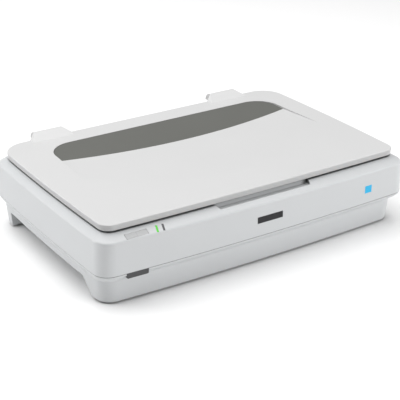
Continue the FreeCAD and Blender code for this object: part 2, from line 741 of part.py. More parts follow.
# --------------------------------------------------------------- front controls
def button(side):
    """One half of the two-button pair; side is -1 for the left, 1 for the right."""
    w, h = BUTTON
    middle = side * (w + FIT) / 2
    y0 = -BUTTON_LOW - h / 2
    cap = box(middle - w / 2, middle + w / 2, y0, y0 + h, -BUTTON_THICK, WALL)
    corners = [e for e in edges_along(cap, Z_AXIS)
               if (e.BoundBox.Center.x - middle) * side > 0]
    cap = cap.makeFillet(2.0, corners)
    lap = FIT + BUTTON_LAP
    inner = middle - side * w / 2
    outer = middle + side * (w / 2 + lap)
    flange = box(min(inner, outer), max(inner, outer), y0 - lap, y0 + h + lap,
                 -BUTTON_THICK, -BUTTON_THICK + BUTTON_FLANGE)
    stem_end = -CONTROL_DEPTH + SWITCH_HIGH + BUTTON_TRAVEL + FIT
    stem = Part.makeCylinder(BUTTON_STEM_R, -BUTTON_THICK - stem_end,
                             V(middle, -BUTTON_LOW, stem_end), Z_AXIS)
    blank = on_bevel(cap.fuse([flange, stem]).removeSplitter(), BUTTON_X)
    above = on_bevel(box(-2 * w, 2 * w, -2 * h, 2 * h, 0, 2 * WALL), BUTTON_X)
    return blank.cut(above)


def light_lens(x):
    blank = on_bevel(light_bar_blank(0, -LIGHT_DEEP), x)
    above = on_bevel(box(-BUTTON[0], BUTTON[0], -BUTTON[0], BUTTON[0], 0, 3 * WALL), x)
    return blank.cut(above)


def control_board():
    """Board under the bevel with two tactile switches and two lamps."""
    x0, x1 = CONTROL_BOARD
    w = CONTROL_WIDTH / 2
    top = -CONTROL_DEPTH
    solids = [box(x0 - BUTTON_X, x1 - BUTTON_X, -BUTTON_LOW - w, -BUTTON_LOW + w,
                  top - BOARD, top)]
    switch = (BUTTON[0] + FIT) / 2
    lamps = [light_x - BUTTON_X for light_x in (POWER_LIGHT_X, ERROR_LIGHT_X)]
    for x, size in ((-switch, SWITCH), (switch, SWITCH), (lamps[0], LAMP), (lamps[1], LAMP)):
        s = size / 2
        solids.append(box(x - s, x + s, -BUTTON_LOW - s, -BUTTON_LOW + s, top, top + SWITCH_HIGH))
    return group([on_bevel(solid, BUTTON_X) for solid in solids])


def control_board_posts():
    """Posts under the bevel that the control board hangs from."""
    r = CONTROL_POST_R
    ends = (CONTROL_BOARD[0] - BUTTON_X + r + 0.5, CONTROL_BOARD[1] - BUTTON_X - r - 0.5)
    return [on_bevel(post_z(x, -BUTTON_LOW, r, -CONTROL_DEPTH, -WALL / 2), BUTTON_X)
            for x in ends]


# --------------------------------------------------------------- transport lock
def lock_slot():
    """Notch for the pull tab in the lower housing's lip."""
    x0, x1 = LOCK_X
    slot = box(x0, x1, FRONT_Y - WALL, lock_back_y() + LOCK_PLATE, LOCK_Z, PARTING_Z + LOCK_R)
    corners = [e for e in edges_along(slot, Y_AXIS) if e.BoundBox.Center.z < PARTING_Z]
    return slot.makeFillet(LOCK_R, corners)


def lock_back_y():
    return front_at(PARTING_PLAN, LOCK_X[0]) + LIP_INSET + LOCK_DEPTH


def transport_lock():
    """Pull tab flush with the lip, with a tongue under the carriage."""
    x0, x1 = LOCK_X
    back = lock_back_y()
    tab = box(x0 + FIT, x1 - FIT, FRONT_Y, back, LOCK_Z + FIT, PARTING_Z - FIT)
    corners = [e for e in edges_along(tab, Y_AXIS) if e.BoundBox.Center.z < PARTING_Z - LOCK_R]
    tab = tab.makeFillet(LOCK_R - FIT, corners)
    tab = tab.common(slab(inset(PARTING_PLAN, LIP_INSET), LOCK_Z, PARTING_Z))
    top = PARTING_Z + LOCK_TOP
    upright = box(x0 + FIT, x1 - FIT, back - LOCK_PLATE, back, PARTING_Z - 2 * LOCK_R, top)
    middle = (x0 + x1) / 2
    t = LOCK_TONGUE / 2
    tongue = box(middle - t, middle + t, back - LOCK_PLATE, back + LOCK_REACH,
                 top - LOCK_PLATE, top)
    return tab.fuse([upright, tongue]).removeSplitter()


# --------------------------------------------------------------- lower housing
def arch(grow):
    """Space under the base between the front skirt and the rear feet."""
    y0 = FRONT_Y + SKIRT_FLAT - grow
    y1 = REAR_Y - REAR_FOOT_DEPTH + grow
    top = ARCH_Z + grow
    low = SKIRT_Z - WALL
    profile = [(y0, low), (y0, SKIRT_Z + grow), (y0 + SKIRT_RAMP, top), (y1, top), (y1, low)]
    tunnel = prism_x(profile, -SIDE - WALL, SIDE + WALL)
    corners = [e for e in edges_along(tunnel, X_AXIS) if abs(e.BoundBox.ZMin - top) < SAME]
    tunnel = tunnel.makeFillet(ARCH_R, corners)
    half = FOOT_PLAN.half - REAR_FOOT_WIDTH + grow
    gap = box(-half, half, y1 - ARCH_R - WALL, REAR_Y + WALL, low, top)
    return tunnel.fuse(gap)


def lower_block():
    lip = inset(PARTING_PLAN, LIP_INSET)
    solid = slab(lip, LIP_Z, PARTING_Z - SEAM_HEIGHT)
    solid = solid.fuse([taper(COVE_PLAN, COVE_Z, lip, LIP_Z),
                        taper(FOOT_PLAN, SKIRT_Z, COVE_PLAN, COVE_Z)])
    solid = solid.removeSplitter()
    return solid.makeFillet(LIP_R, level_edges(solid, LIP_Z))


def lower_cavity():
    lip = inset(PARTING_PLAN, LIP_INSET + WALL)
    cove = inset(COVE_PLAN, WALL)
    foot = inset(FOOT_PLAN, WALL)
    room = slab(lip, LIP_Z, PARTING_Z)
    room = room.fuse([taper(cove, COVE_Z, lip, LIP_Z),
                      taper(foot, SKIRT_Z + WALL, cove, COVE_Z)])
    rear = box(-SIDE, SIDE, REAR_Y - REAR_FOOT_DEPTH, REAR_Y, SKIRT_Z, FLOOR_Z)
    return room.cut([arch(WALL), rear])


def foot_hollows():
    """The rear feet are hollow from below, around the bosses of their pads."""
    foot = inset(FOOT_PLAN, WALL)
    cove = inset(COVE_PLAN, WALL)
    inner = FOOT_PLAN.half - REAR_FOOT_WIDTH + WALL
    front = REAR_Y - REAR_FOOT_DEPTH + WALL
    ends = group([box(inner, SIDE, front, REAR_Y, SKIRT_Z, ARCH_Z),
                  box(-SIDE, -inner, front, REAR_Y, SKIRT_Z, ARCH_Z)])
    room = taper(foot, SKIRT_Z, cove, COVE_Z).common(ends)
    return room.cut([post_z(x, y, PAD_R + WALL, SKIRT_Z, ARCH_Z) for x, y in pad_places()])


def tongue_ring():
    outer = inset(PARTING_PLAN, WALL + FIT)
    top = PARTING_Z + TONGUE_RISE
    return slab(outer, LIP_Z, top).cut(slab(inset(outer, TONGUE), LIP_Z, top))


def pad_places():
    x = SIDE - PAD_FROM_SIDE
    return [(s * x, y) for y in (FRONT_Y + PAD_FROM_FRONT, REAR_Y - PAD_FROM_REAR)
            for s in (-1, 1)]


def rubber_feet():
    return group([post_z(x, y, PAD_R, 0, PAD_HEIGHT) for x, y in pad_places()])


def rib_places():
    reach = SIDE - RAIL_END - 2 * RIB
    return [-reach + 2 * reach * i / (RIBS - 1) for i in range(RIBS)]


def standoffs(board):
    x0, x1, y0, y1 = board
    m = 2 * STANDOFF_R
    return [post_z(x, y, STANDOFF_R, FLOOR_Z - WALL / 2, FLOOR_Z + STANDOFF)
            for x in (x0 + m, x1 - m) for y in (y0 + m, y1 - m)]


def tension_post():
    x = IDLER_X + IDLER_HALF + TENSION_LENGTH + 2 * FIT
    y = tension_y()
    half = TENSION_POST / 2
    return box(x, x + 2 * RIB, y - half, y + half, FLOOR_Z - WALL / 2, FLOOR_Z + TENSION_POST_HIGH)


def lower_housing():
    cavity = lower_cavity()
    shell = lower_block().cut(arch(0))
    screws = screw_places()
    bosses = [post_z(x, y, BOSS_R + 0.5, SKIRT_Z, PARTING_Z) for x, y in screws]
    room = cavity.cut(bosses)
    shell = shell.cut(room)
    ribs = [box(x - RIB / 2, x + RIB / 2, RAIL_Y - RAIL_WIDTH / 2, RAIL_Y + RAIL_WIDTH / 2,
                SKIRT_Z + WALL / 2, RAIL_Z - RAIL) for x in rib_places()]
    extras = ribs + standoffs(MAIN_BOARD) + standoffs(POWER_BOARD)
    extras += [tension_post(), ribbon_hook()]
    ring = tongue_ring().cut(lock_slot())
    shell = shell.fuse(extras + [ring])
    x0, x1 = PANEL_X
    z0, z1 = PANEL_Z
    cutters = [box(x0, x1, REAR_Y - 2 * BASE_REAR, REAR_Y + WALL, z0, z1), lock_slot()]
    for x, y in screws:
        cutters.append(post_z(x, y, SCREW_R, SKIRT_Z - 1, PARTING_Z + WALL))
        cutters.append(post_z(x, y, SCREW_HEAD_R + FIT, SKIRT_Z - 1, PARTING_Z - SCREW_GRIP))
    cutters += [post_z(x, y, PAD_R, 0, PAD_HEIGHT) for x, y in pad_places()]
    return shell.cut(cutters + [foot_hollows()])


def housing_screws():
    screws = []
    for x, y in screw_places():
        seat = PARTING_Z - SCREW_GRIP
        head = post_z(x, y, SCREW_HEAD_R, seat - SCREW_HEAD, seat)
        socket = post_z(x, y, SCREW_HEAD_R / 2, seat - SCREW_HEAD, seat - SCREW_HEAD / 2)
        shank = post_z(x, y, SCREW_R, seat, PARTING_Z + SCREW_BITE)
        screws.append(head.cut(socket).fuse(shank))
    return group(screws)


# ------------------------------------------------------------------------- lid
def above_floor(drop):
    """Everything above the dish's curved floor, lowered by drop."""
    reach = DISH_HALF + DISH_SPLAY + REACH
    end = DISH_END_DEPTH - DISH_SLOPE * (CRESCENT_MID - CRESCENT_END)
    rise = (DISH_DEPTH - end) * (reach / DISH_HALF) ** 2
    y = DISH_BACK + REACH
    z = LID_TOP_Z - DISH_DEPTH - DISH_SLOPE * (y - FOOT_Y) - drop
    left = V(DISH_SHIFT - reach, y, z + rise)
    right = V(DISH_SHIFT + reach, y, z + rise)
    floor = Part.Arc(left, V(DISH_SHIFT, y, z), right).toShape()
    top = V(0, 0, HEIGHT)
    ring = [floor, Part.makeLine(right, right + top), Part.makeLine(right + top, left + top),
            Part.makeLine(left + top, left)]
    run = CRESCENT_MID + DISH_LENGTH + 3 * REACH
    return Part.Face(Part.Wire(ring)).extrude(V(0, -run, DISH_SLOPE * run))


def above_crescent(drop):
    """Everything above the crescent's inclined plane, lowered by drop."""
    reach = DISH_HALF + DISH_SPLAY + 2 * REACH
    z = LID_TOP_Z - PANEL_SUNK - drop
    back = DISH_BACK + REACH
    front = FOOT_Y - DISH_LENGTH - 2 * REACH
    high = LID_TOP_Z + HEIGHT
    points = [(back, z + CRESCENT_SLOPE * (back - DISH_BACK)),
              (front, z - CRESCENT_SLOPE * (DISH_BACK - front)), (front, high), (back, high)]
    return prism_x(points, DISH_SHIFT - reach, DISH_SHIFT + reach)


def dish_outline(grow):
    """Dish in plan: rounded rear corners, sides that splay towards the front."""
    front = FOOT_Y - DISH_LENGTH - grow
    back = DISH_BACK + grow
    r = DISH_CORNER_R + grow
    half = DISH_HALF + grow
    wide = half + DISH_SPLAY
    bend = back - r
    s = r * math.sqrt(0.5)
    right = [V(half - r, back, 0), V(half - r + s, bend + s, 0), V(half, bend, 0), V(wide, front, 0)]
    left = [V(-p.x, p.y, 0) for p in right]
    edges = [Part.Arc(right[0], right[1], right[2]).toShape(), Part.makeLine(right[2], right[3]),
             Part.makeLine(right[3], left[3]), Part.makeLine(left[3], left[2]),
             Part.Arc(left[2], left[1], left[0]).toShape(), Part.makeLine(left[0], right[0])]
    face = Part.Face(Part.Wire(edges))
    face.translate(V(DISH_SHIFT, 0, LID_TOP_Z - 2 * LID_EDGE))
    return face.extrude(V(0, 0, 4 * LID_EDGE))


def dish(grow, drop):
    """Cutter for the dished top, or for its skin when grown and dropped."""
    return dish_outline(grow).common(above_floor(drop)).common(above_crescent(drop))


def crescent(shrink, depth):
    """The crescent-shaped inlay: its plan, and a layer of the inclined plane."""
    mid = FOOT_Y + shrink
    end = DISH_BACK - CRESCENT_END + shrink
    half = DISH_HALF + DISH_SPLAY
    rise = (end - mid) * (half / DISH_HALF) ** 2
    back = DISH_BACK + WALL
    left = V(DISH_SHIFT - half, mid + rise, 0)
    right = V(DISH_SHIFT + half, mid + rise, 0)
    ring = [Part.Arc(left, V(DISH_SHIFT, mid, 0), right).toShape(),
            Part.makeLine(right, V(right.x, back, 0)),
            Part.makeLine(V(right.x, back, 0), V(left.x, back, 0)),
            Part.makeLine(V(left.x, back, 0), left)]
    face = Part.Face(Part.Wire(ring))
    face.translate(V(0, 0, LID_TOP_Z - 2 * LID_EDGE))
    plan = face.extrude(V(0, 0, 4 * LID_EDGE)).common(dish_outline(-shrink))
    return plan.common(above_crescent(depth))


def crescent_panel():
    return crescent(PANEL_GAP, PANEL).cut(above_crescent(0))


def hump(x, grow):
    """Hinge hump over one hinge, or its hollow when grown by minus the wall."""
    r = AXIS_R + grow
    foot_y = AXIS_Y - 1 - HUMP_SLOPE - grow
    top = HEIGHT + grow
    edge = math.radians(SKIRT_EDGE)
    end = V(x, AXIS_Y + r * math.cos(edge), AXIS_Z + r * math.sin(edge))
    crown = V(x, AXIS_Y, top)
    middle = V(x, AXIS_Y + r * math.cos(math.pi / 4), AXIS_Z + r * math.sin(math.pi / 4))
    low = LID_TOP_Z - LID_TOP_R - LID_WALL
    inside = V(x, LID_PLAN.rear - LID_WALL, end.z)
    points = [end, inside, V(x, inside.y, low), V(x, foot_y, low),
              V(x, foot_y, LID_TOP_Z + grow), V(x, AXIS_Y - 1, top), crown]
    edges = [Part.makeLine(a, b) for a, b in zip(points, points[1:])]
    edges.append(Part.Arc(crown, middle, end).toShape())
    side = Part.Face(Part.Wire(edges))
    side.translate(V(-HUMP_FOOT, 0, 0))
    side = side.extrude(V(2 * HUMP_FOOT, 0, 0))
    foot = HUMP_FOOT / 2 + grow
    crest = HUMP_TOP / 2 + grow
    points = [(x - foot, LID_Z), (x + foot, LID_Z), (x + foot, LID_TOP_Z + grow),
              (x + crest, top), (x - crest, top), (x - foot, LID_TOP_Z + grow)]
    return side.common(prism_y(points, foot_y - WALL, AXIS_Y + AXIS_R + WALL))


def hump_plan(x, grow):
    """Hump seen from above: behind the lid's rear edge it narrows to the crest."""
    foot = HUMP_FOOT / 2 + grow
    crest = HUMP_TOP / 2 + grow
    front = AXIS_Y - 2 * HUMP_SLOPE
    edge = LID_PLAN.rear + grow
    rear = AXIS_Y + AXIS_R + WALL
    points = [(x - foot, front), (x + foot, front), (x + foot, edge), (x + crest, AXIS_Y),
              (x + crest, rear), (x - crest, rear), (x - crest, AXIS_Y), (x - foot, edge)]
    return prism_z(points, LID_Z - WALL, HEIGHT + WALL)


def rounded_hump(x):
    solid = hump(x, 0)
    rims = [e for e in solid.Edges
            if e.BoundBox.ZMin > LID_TOP_Z - SAME and e.BoundBox.YMin > AXIS_Y - HUMP_SLOPE - 2
            and e.BoundBox.XLength < HUMP_FOOT / 2]
    return solid.makeFillet(HUMP_R, rims).common(hump_plan(x, 0))


def lid_block():
    solid = taper(LID_PLAN, LID_Z, inset(LID_PLAN, -LID_FLARE), LID_TOP_Z)
    return solid.makeFillet(LID_TOP_R, level_edges(solid, LID_TOP_Z))


def lid_cavity():
    low = inset(LID_PLAN, LID_WALL)
    high = inset(LID_PLAN, LID_WALL - LID_FLARE)
    return taper(low, LID_Z, high, LID_TOP_Z - LID_WALL)


def lid_top_cover():
    block = lid_block().fuse([rounded_hump(x) for x in HINGE_XS])
    columns = [post_z(x, y, BOSS_R, COVER_BOTTOM + COVER, LID_TOP_Z) for x, y in lid_screw_places()]
    room = lid_cavity().cut(dish(LID_WALL, LID_WALL + PANEL)).cut(columns)
    shell = block.cut(room).cut([dish(0, 0), crescent(0, PANEL)])
    hollows = [hump(x, -LID_WALL).common(hump_plan(x, -LID_WALL)) for x in HINGE_XS]
    shell = shell.cut(hollows)
    half = BRACKET_WIDTH / 2 + 1
    mouths = [box(x - half, x + half, LID_PLAN.rear - 2 * LID_WALL, LID_PLAN.rear + 2 * LID_WALL,
                  COVER_BOTTOM, LID_TOP_Z - LID_TOP_R - LID_WALL) for x in HINGE_XS]
    pilots = [post_z(x, y, SCREW_R, LID_Z, LID_TOP_Z - LID_WALL) for x, y in lid_screw_places()]
    return shell.cut(mouths + pilots)


def lid_inner_cover():
    plate = slab(inset(LID_PLAN, LID_WALL + FIT), COVER_BOTTOM, COVER_BOTTOM + COVER)
    holes = [post_z(x, y, SCREW_R, LID_Z, LID_TOP_Z) for x, y in lid_screw_places()]
    return plate.cut(holes)


def lid_screws():
    screws = []
    for x, y in lid_screw_places():
        head = post_z(x, y, SCREW_HEAD_R, COVER_BOTTOM - LID_SCREW_HEAD, COVER_BOTTOM)
        socket = post_z(x, y, SCREW_HEAD_R / 2, COVER_BOTTOM - LID_SCREW_HEAD,
                        COVER_BOTTOM - LID_SCREW_HEAD / 2)
        shank = post_z(x, y, SCREW_R, COVER_BOTTOM, LID_TOP_Z - 2 * LID_WALL)
        screws.append(head.cut(socket).fuse(shank))
    return group(screws)


def document_mat():
    x0, x1, y0, y1 = WINDOW
    m = MAT_MARGIN
    mat = box(x0 - m, x1 + m, y0 - m, y1 + m, DECK_Z + MAT_LIFT, COVER_BOTTOM)
    return mat.makeFillet(m / 2, edges_along(mat, Z_AXIS))


def lid_bumpers():
    x = SIDE - BUMPER_FROM_SIDE
    return group([post_z(s * x, y, BUMPER_R, DECK_Z + MAT_LIFT, COVER_BOTTOM)
                  for s in (-1, 1) for y in BUMPER_ROWS])


# ---------------------------------------------------------------------- hinges
def hinge_bracket(x):
    """Lid-side bracket: a plate on the inner cover and two ears to the pin."""
    half = BRACKET_WIDTH / 2
    z0 = COVER_BOTTOM + COVER
    front = LID_PLAN.rear - LID_WALL - BRACKET_REACH
    rear = LID_PLAN.rear - LID_WALL - FIT
    solids = [box(x - half, x + half, front, rear, z0, z0 + BRACKET)]
    inner = KNUCKLE / 2 + EAR_GAP
    for x0 in (x - inner - EAR, x + inner):
        solids.append(box(x0, x0 + EAR, front, AXIS_Y, z0, z0 + EAR_HEIGHT))
        solids.append(rod_x(AXIS_Y, AXIS_Z, EAR_R, x0, x0 + EAR))
    bracket = solids[0].fuse(solids[1:]).removeSplitter()
    return bracket.cut(rod_x(AXIS_Y, AXIS_Z, PIN_R, x - half, x + half))


def hinge_pins():
    reach = KNUCKLE / 2 + EAR_GAP + EAR + 1
    return group([rod_x(AXIS_Y, AXIS_Z, PIN_R, x - reach, x + reach) for x in HINGE_XS])


def hinge_springs():
    pitch = (EAR_GAP - 2 * FIT - 2 * SPRING_WIRE) / SPRING_TURNS
    springs = []
    for x in HINGE_XS:
        for side in (-1, 1):
            start = V(x + side * (KNUCKLE / 2 + FIT + SPRING_WIRE), AXIS_Y, AXIS_Z)
            springs.append(coil(start, V(side, 0, 0), SPRING_R, pitch, SPRING_TURNS, SPRING_WIRE))
    return group(springs)


def hinge_post(x):
    """Flat blade that slides in its socket and carries the hinge knuckle."""
    y0 = AXIS_Y - POST / 2
    y1 = AXIS_Y + POST / 2
    shoulder = AXIS_Z - NECK_TOP
    blade = box(x - POST_WIDTH / 2, x + POST_WIDTH / 2, y0, y1, POST_Z, shoulder)
    neck = box(x - KNUCKLE / 2, x + KNUCKLE / 2, y0, y1, shoulder, AXIS_Z)
    knuckle = rod_x(AXIS_Y, AXIS_Z, KNUCKLE_R, x - KNUCKLE / 2, x + KNUCKLE / 2)
    bore = rod_x(AXIS_Y, AXIS_Z, PIN_R + RUN, x - KNUCKLE, x + KNUCKLE)
    return blade.fuse([neck, knuckle]).removeSplitter().cut(bore)


def hinge_socket(x):
    """Sleeve on the rear wall that holds one post."""
    half = SOCKET_WIDTH / 2
    top = DECK_Z - SOCKET_TOP
    sleeve = box(x - half, x + half, REAR_Y, REAR_Y + SOCKET, SOCKET_BOTTOM, top)
    outer = [e for e in edges_along(sleeve, Z_AXIS) if e.BoundBox.YMin > REAR_Y + 1]
    sleeve = sleeve.makeFillet(SOCKET_R, outer)
    channel = box(x - POST_WIDTH / 2 - FIT, x + POST_WIDTH / 2 + FIT, AXIS_Y - POST / 2 - FIT,
                  AXIS_Y + POST / 2 + FIT, POST_Z - FIT, top + WALL)
    holes = [rod_y(sx, sz, SCREW_R, REAR_Y - 1, REAR_Y + 2 * SOCKET)
             for sx, sz in socket_screw_places()]
    return sleeve.cut([channel] + holes)


def socket_screws():
    screws = []
    face = REAR_Y + SOCKET
    for x, z in socket_screw_places():
        head = rod_y(x, z, SCREW_HEAD_R, face, face + SCREW_HEAD)
        socket = rod_y(x, z, SCREW_HEAD_R / 2, face + SCREW_HEAD / 2, face + SCREW_HEAD)
        shank = rod_y(x, z, SCREW_R, REAR_INSIDE - SCREW_R, face)
        screws.append(head.cut(socket).fuse(shank))
    return group(screws)


# -------------------------------------------------------------------- carriage
def carriage_box(x0, x1, y0, y1, z0, z1):
    """Box placed from the carriage's middle at home."""
    return box(HOME_X + x0, HOME_X + x1, y0, y1, z0, z1)


def carriage_housing():
    half = CAR_WIDTH / 2
    y0, y1 = CAR_Y
    w = CAR_WALL
    tray = carriage_box(-half, half, y0, y1, CAR_Z, CAR_TOP - w)
    tray = tray.cut(carriage_box(w - half, half - w, y0 + w, y1 - w, CAR_Z + w, CAR_TOP))
    boss_r = ROD_R + BUSH + BUSH_WALL
    length = BUSH_LENGTH / 2
    solids = []
    for side in (-1, 1):
        x = side * BUSH_OUT
        solids.append(carriage_box(x - length, x + length, y1, ROD_Y + boss_r,
                                   ROD_Z - boss_r, ROD_Z + boss_r))
    clamp = CLAMP_LENGTH / 2
    solids.append(carriage_box(-BUSH_OUT, BUSH_OUT, y1, ROD_Y - ROD_R - FIT,
                               ROD_Z - boss_r, ROD_Z + boss_r))
    solids.append(carriage_box(-clamp, clamp, y1, ROD_Y + boss_r, CAR_Z, ROD_Z - ROD_R - FIT))
    arm = SHOE_LENGTH / 2
    solids.append(carriage_box(-arm, arm, RAIL_Y - RAIL_WIDTH / 2, y0, RAIL_Z + SHOE + FIT,
                               RAIL_Z + SHOE + FIT + ARM))
    tray = tray.fuse(solids).removeSplitter()
    bores = [rod_x(ROD_Y, ROD_Z, ROD_R + BUSH, HOME_X + s * BUSH_OUT - length,
                   HOME_X + s * BUSH_OUT + length) for s in (-1, 1)]
    tray = tray.cut(bores)
    return tray.cut(rod_x(ROD_Y, ROD_Z, ROD_R + FIT, HOME_X - half, HOME_X + half))


def carriage_cover():
    half = CAR_WIDTH / 2
    y0, y1 = CAR_Y
    plate = carriage_box(-half, half, y0, y1, CAR_TOP - CAR_WALL, CAR_TOP)
    slot = carriage_box(-SLOT / 2, SLOT / 2, y0 + SLOT_RIM, y1 - SLOT_RIM,
                        CAR_TOP - 2 * CAR_WALL, CAR_TOP + 1)
    return plate.cut(slot)


def light_bars():
    """Two light guides beside the slit, held between the tray's end walls."""
    y0 = CAR_Y[0] + CAR_WALL
    y1 = CAR_Y[1] - CAR_WALL
    top = CAR_TOP - CAR_WALL
    inner = LIGHT_GAP / 2
    outer = inner + LIGHT_BAR
    return group([carriage_box(-outer, -inner, y0, y1, top - LIGHT_BAR_HIGH, top),
                  carriage_box(inner, outer, y0, y1, top - LIGHT_BAR_HIGH, top)])


def mirror_strip(x, z, lean):
    y0 = CAR_Y[0] + CAR_WALL
    strip = box(-MIRROR_WIDTH / 2, MIRROR_WIDTH / 2, 0, CAR_Y[1] - CAR_WALL - y0, 0, MIRROR)
    strip.Placement = FreeCAD.Placement(V(HOME_X + x, y0, z), FreeCAD.Rotation(Y_AXIS, lean))
    return strip


def scan_mirrors():
    """Folded light path: one mirror under the slit, two at the tray's sides."""
    return group([mirror_strip(x, CAR_Z + up, lean) for x, up, lean in MIRRORS])


def lens_place():
    return (CAR_Y[0] + CAR_Y[1]) / 2, CAR_Z + CAR_WALL + LENS_R + LENS_UP


def lens_holder():
    y, z = lens_place()
    w = LENS_R + LENS_HOLDER_WALL
    x = LENS_X + (LENS_LENGTH - LENS_HOLDER) / 2
    block = carriage_box(x, x + LENS_HOLDER, y - w, y + w, CAR_Z + CAR_WALL, z)
    bore = rod_x(y, z, LENS_R + RUN, HOME_X + LENS_X, HOME_X + LENS_X + LENS_LENGTH)
    return block.cut(bore)


def lens():
    y, z = lens_place()
    x0 = HOME_X + LENS_X
    x1 = x0 + LENS_LENGTH
    glass = LENS_R - LENS_RIM
    return rod_x(y, z, LENS_R, x0, x1).cut([rod_x(y, z, glass, x0, x0 + LENS_SUNK),
                                            rod_x(y, z, glass, x1 - LENS_SUNK, x1)])


def sensor_board():
    y, z = lens_place()
    half = SENSOR_BOARD_HALF
    return carriage_box(SENSOR_X - SENSOR_BOARD, SENSOR_X, y - half, y + half,
                        CAR_Z + CAR_WALL, z + SENSOR_BOARD_UP)


def image_sensor():
    y, z = lens_place()
    thick, w, h = SENSOR
    return carriage_box(SENSOR_X, SENSOR_X + thick, y - w, y + w, z - h, z + h)


def rod_bushes():
    rings = []
    for side in (-1, 1):
        x0 = HOME_X + side * BUSH_OUT - BUSH_LENGTH / 2
        ring = rod_x(ROD_Y, ROD_Z, ROD_R + BUSH, x0, x0 + BUSH_LENGTH)
        rings.append(ring.cut(rod_x(ROD_Y, ROD_Z, ROD_R + RUN, x0, x0 + BUSH_LENGTH)))
    return group(rings)


def slide_shoe():
    arm = SHOE_LENGTH / 2
    y0 = RAIL_Y - RAIL_WIDTH / 2 + 1
    return carriage_box(-arm, arm, y0, y0 + RAIL_WIDTH - 2, RAIL_Z + FIT, RAIL_Z + FIT + SHOE)


def belt_clamp():
    """C-shaped clamp on the carriage, closed over the belt's upper run."""
    half = CLAMP_LENGTH / 2
    run_z = BELT_Z + BELT_R
    y0 = ROD_Y + ROD_R + BUSH + BUSH_WALL
    y1 = BELT_Y + BELT_WIDTH / 2
    web = BELT_Y - BELT_WIDTH / 2 - FIT
    body = carriage_box(-half, half, y0, y1, CAR_Z, run_z + BELT + FIT + JAW)
    below = carriage_box(-half, half, web - JAW, y1, CAR_Z, run_z - FIT - JAW)
    gap = carriage_box(-half, half, web, y1, run_z - FIT, run_z + BELT + FIT)
    return body.cut([below, gap])


# ----------------------------------------------------------------- guide, rail
def guide_rod():
    reach = ROD_PLATE_X + ROD_PLATE + ROD_OUT
    return rod_x(ROD_Y, ROD_Z, ROD_R, -reach, reach)


def rod_bracket(side):
    """Angle plate on the floor that holds one end of the rod."""
    x = side * ROD_PLATE_X
    outer = x + side * ROD_PLATE
    y0 = ROD_Y - 2 * ROD_PLATE_HALF
    y1 = ROD_Y + ROD_PLATE_HALF
    upright = box(min(x, outer), max(x, outer), y0, y1, FLOOR_Z, ROD_Z + ROD_PLATE_TOP)
    inner = x - side * FOOT_LENGTH
    foot = box(min(inner, x), max(inner, x), y0, ROD_Y - ROD_R, FLOOR_Z, FLOOR_Z + ROD_PLATE)
    reach = 2 * ROD_PLATE
    return upright.fuse(foot).removeSplitter().cut(
        rod_x(ROD_Y, ROD_Z, ROD_R, min(x, outer) - reach, max(x, outer) + reach))


def slide_rail():
    reach = SIDE - RAIL_END
    y0 = RAIL_Y - RAIL_WIDTH / 2
    return box(-reach, reach, y0, y0 + RAIL_WIDTH, RAIL_Z - RAIL, RAIL_Z)


# ----------------------------------------------------------------- belt, drive
def drum(x, y0):
    """Flanged belt drum with its bore left for the caller."""
    y1 = y0 + FLANGE
    y2 = y1 + BELT_WIDTH + 2 * FIT
    return rod_y(x, BELT_Z, FLANGE_R, y0, y1).fuse(
        [rod_y(x, BELT_Z, DRUM_R, y1, y2), rod_y(x, BELT_Z, FLANGE_R, y2, y2 + FLANGE)])


def involute(a):
    return math.tan(a) - a


def gear_blank(teeth, addendum, width):
    """Spur gear about the Z axis with a tooth on the X axis."""
    pitch = MODULE * teeth / 2
    base = pitch * math.cos(PRESSURE_ANGLE)
    tip = pitch + addendum * MODULE
    root = pitch - DEDENDUM * MODULE
    half = math.pi / (2 * teeth) - BACKLASH / (4 * pitch)
    flank = []
    start = max(base, root)
    for i in range(FLANK_STEPS + 1):
        r = start + (tip - start) * i / FLANK_STEPS
        spread = half + involute(PRESSURE_ANGLE) - involute(math.acos(min(1.0, base / r)))
        flank.append((r, spread))
    if root < base:
        flank.insert(0, (root, flank[0][1]))
    points = []
    for tooth in range(teeth):
        middle = 2 * math.pi * tooth / teeth
        points += [(r, middle - a) for r, a in flank]
        points += [(r, middle + a) for r, a in reversed(flank)]
    ring = [V(r * math.cos(a), r * math.sin(a), 0) for r, a in points]
    return Part.Face(Part.makePolygon(ring + ring[:1])).extrude(V(0, 0, width))


def gear_at(blank, x, y, z, turn):
    """Stand a gear blank up so that its axis runs along +Y from y."""
    blank.rotate(V(0, 0, 0), Z_AXIS, turn)
    blank.rotate(V(0, 0, 0), X_AXIS, 90)
    blank.translate(V(x, y + GEAR_WIDTH, z))
    return blank


def drive_gear():
    """Reduction gear in one piece with the belt's drive drum."""
    wheel = gear_at(gear_blank(GEAR_TEETH, GEAR_ADDENDUM, GEAR_WIDTH), DRIVE_X, GEAR_Y, BELT_Z, -90)
    web_in = MODULE * GEAR_TEETH / 2 - GEAR_RIM
    recess = rod_y(DRIVE_X, BELT_Z, web_in, GEAR_Y, GEAR_Y + WEB_SUNK)
    recess = recess.cut(rod_y(DRIVE_X, BELT_Z, 2 * SHAFT_R, GEAR_Y, GEAR_Y + WEB_SUNK))
    hub = rod_y(DRIVE_X, BELT_Z, 2 * SHAFT_R, GEAR_Y + GEAR_WIDTH, PULLEY_Y)
    wheel = wheel.cut(recess).fuse([hub, drum(DRIVE_X, PULLEY_Y)])
    return wheel.cut(rod_y(DRIVE_X, BELT_Z, SHAFT_R + RUN, PLATE_Y, REAR_Y))


def motor_pinion():
    half_tooth = 180 / PINION_TEETH
    blank = gear_blank(PINION_TEETH, ADDENDUM, GEAR_WIDTH)
    wheel = gear_at(blank, DRIVE_X, GEAR_Y, MOTOR_Z, 90 + half_tooth)
    return wheel.cut(rod_y(DRIVE_X, MOTOR_Z, MOTOR_SHAFT_R + RUN, GEAR_Y - 1, GEAR_Y + 2 * GEAR_WIDTH))


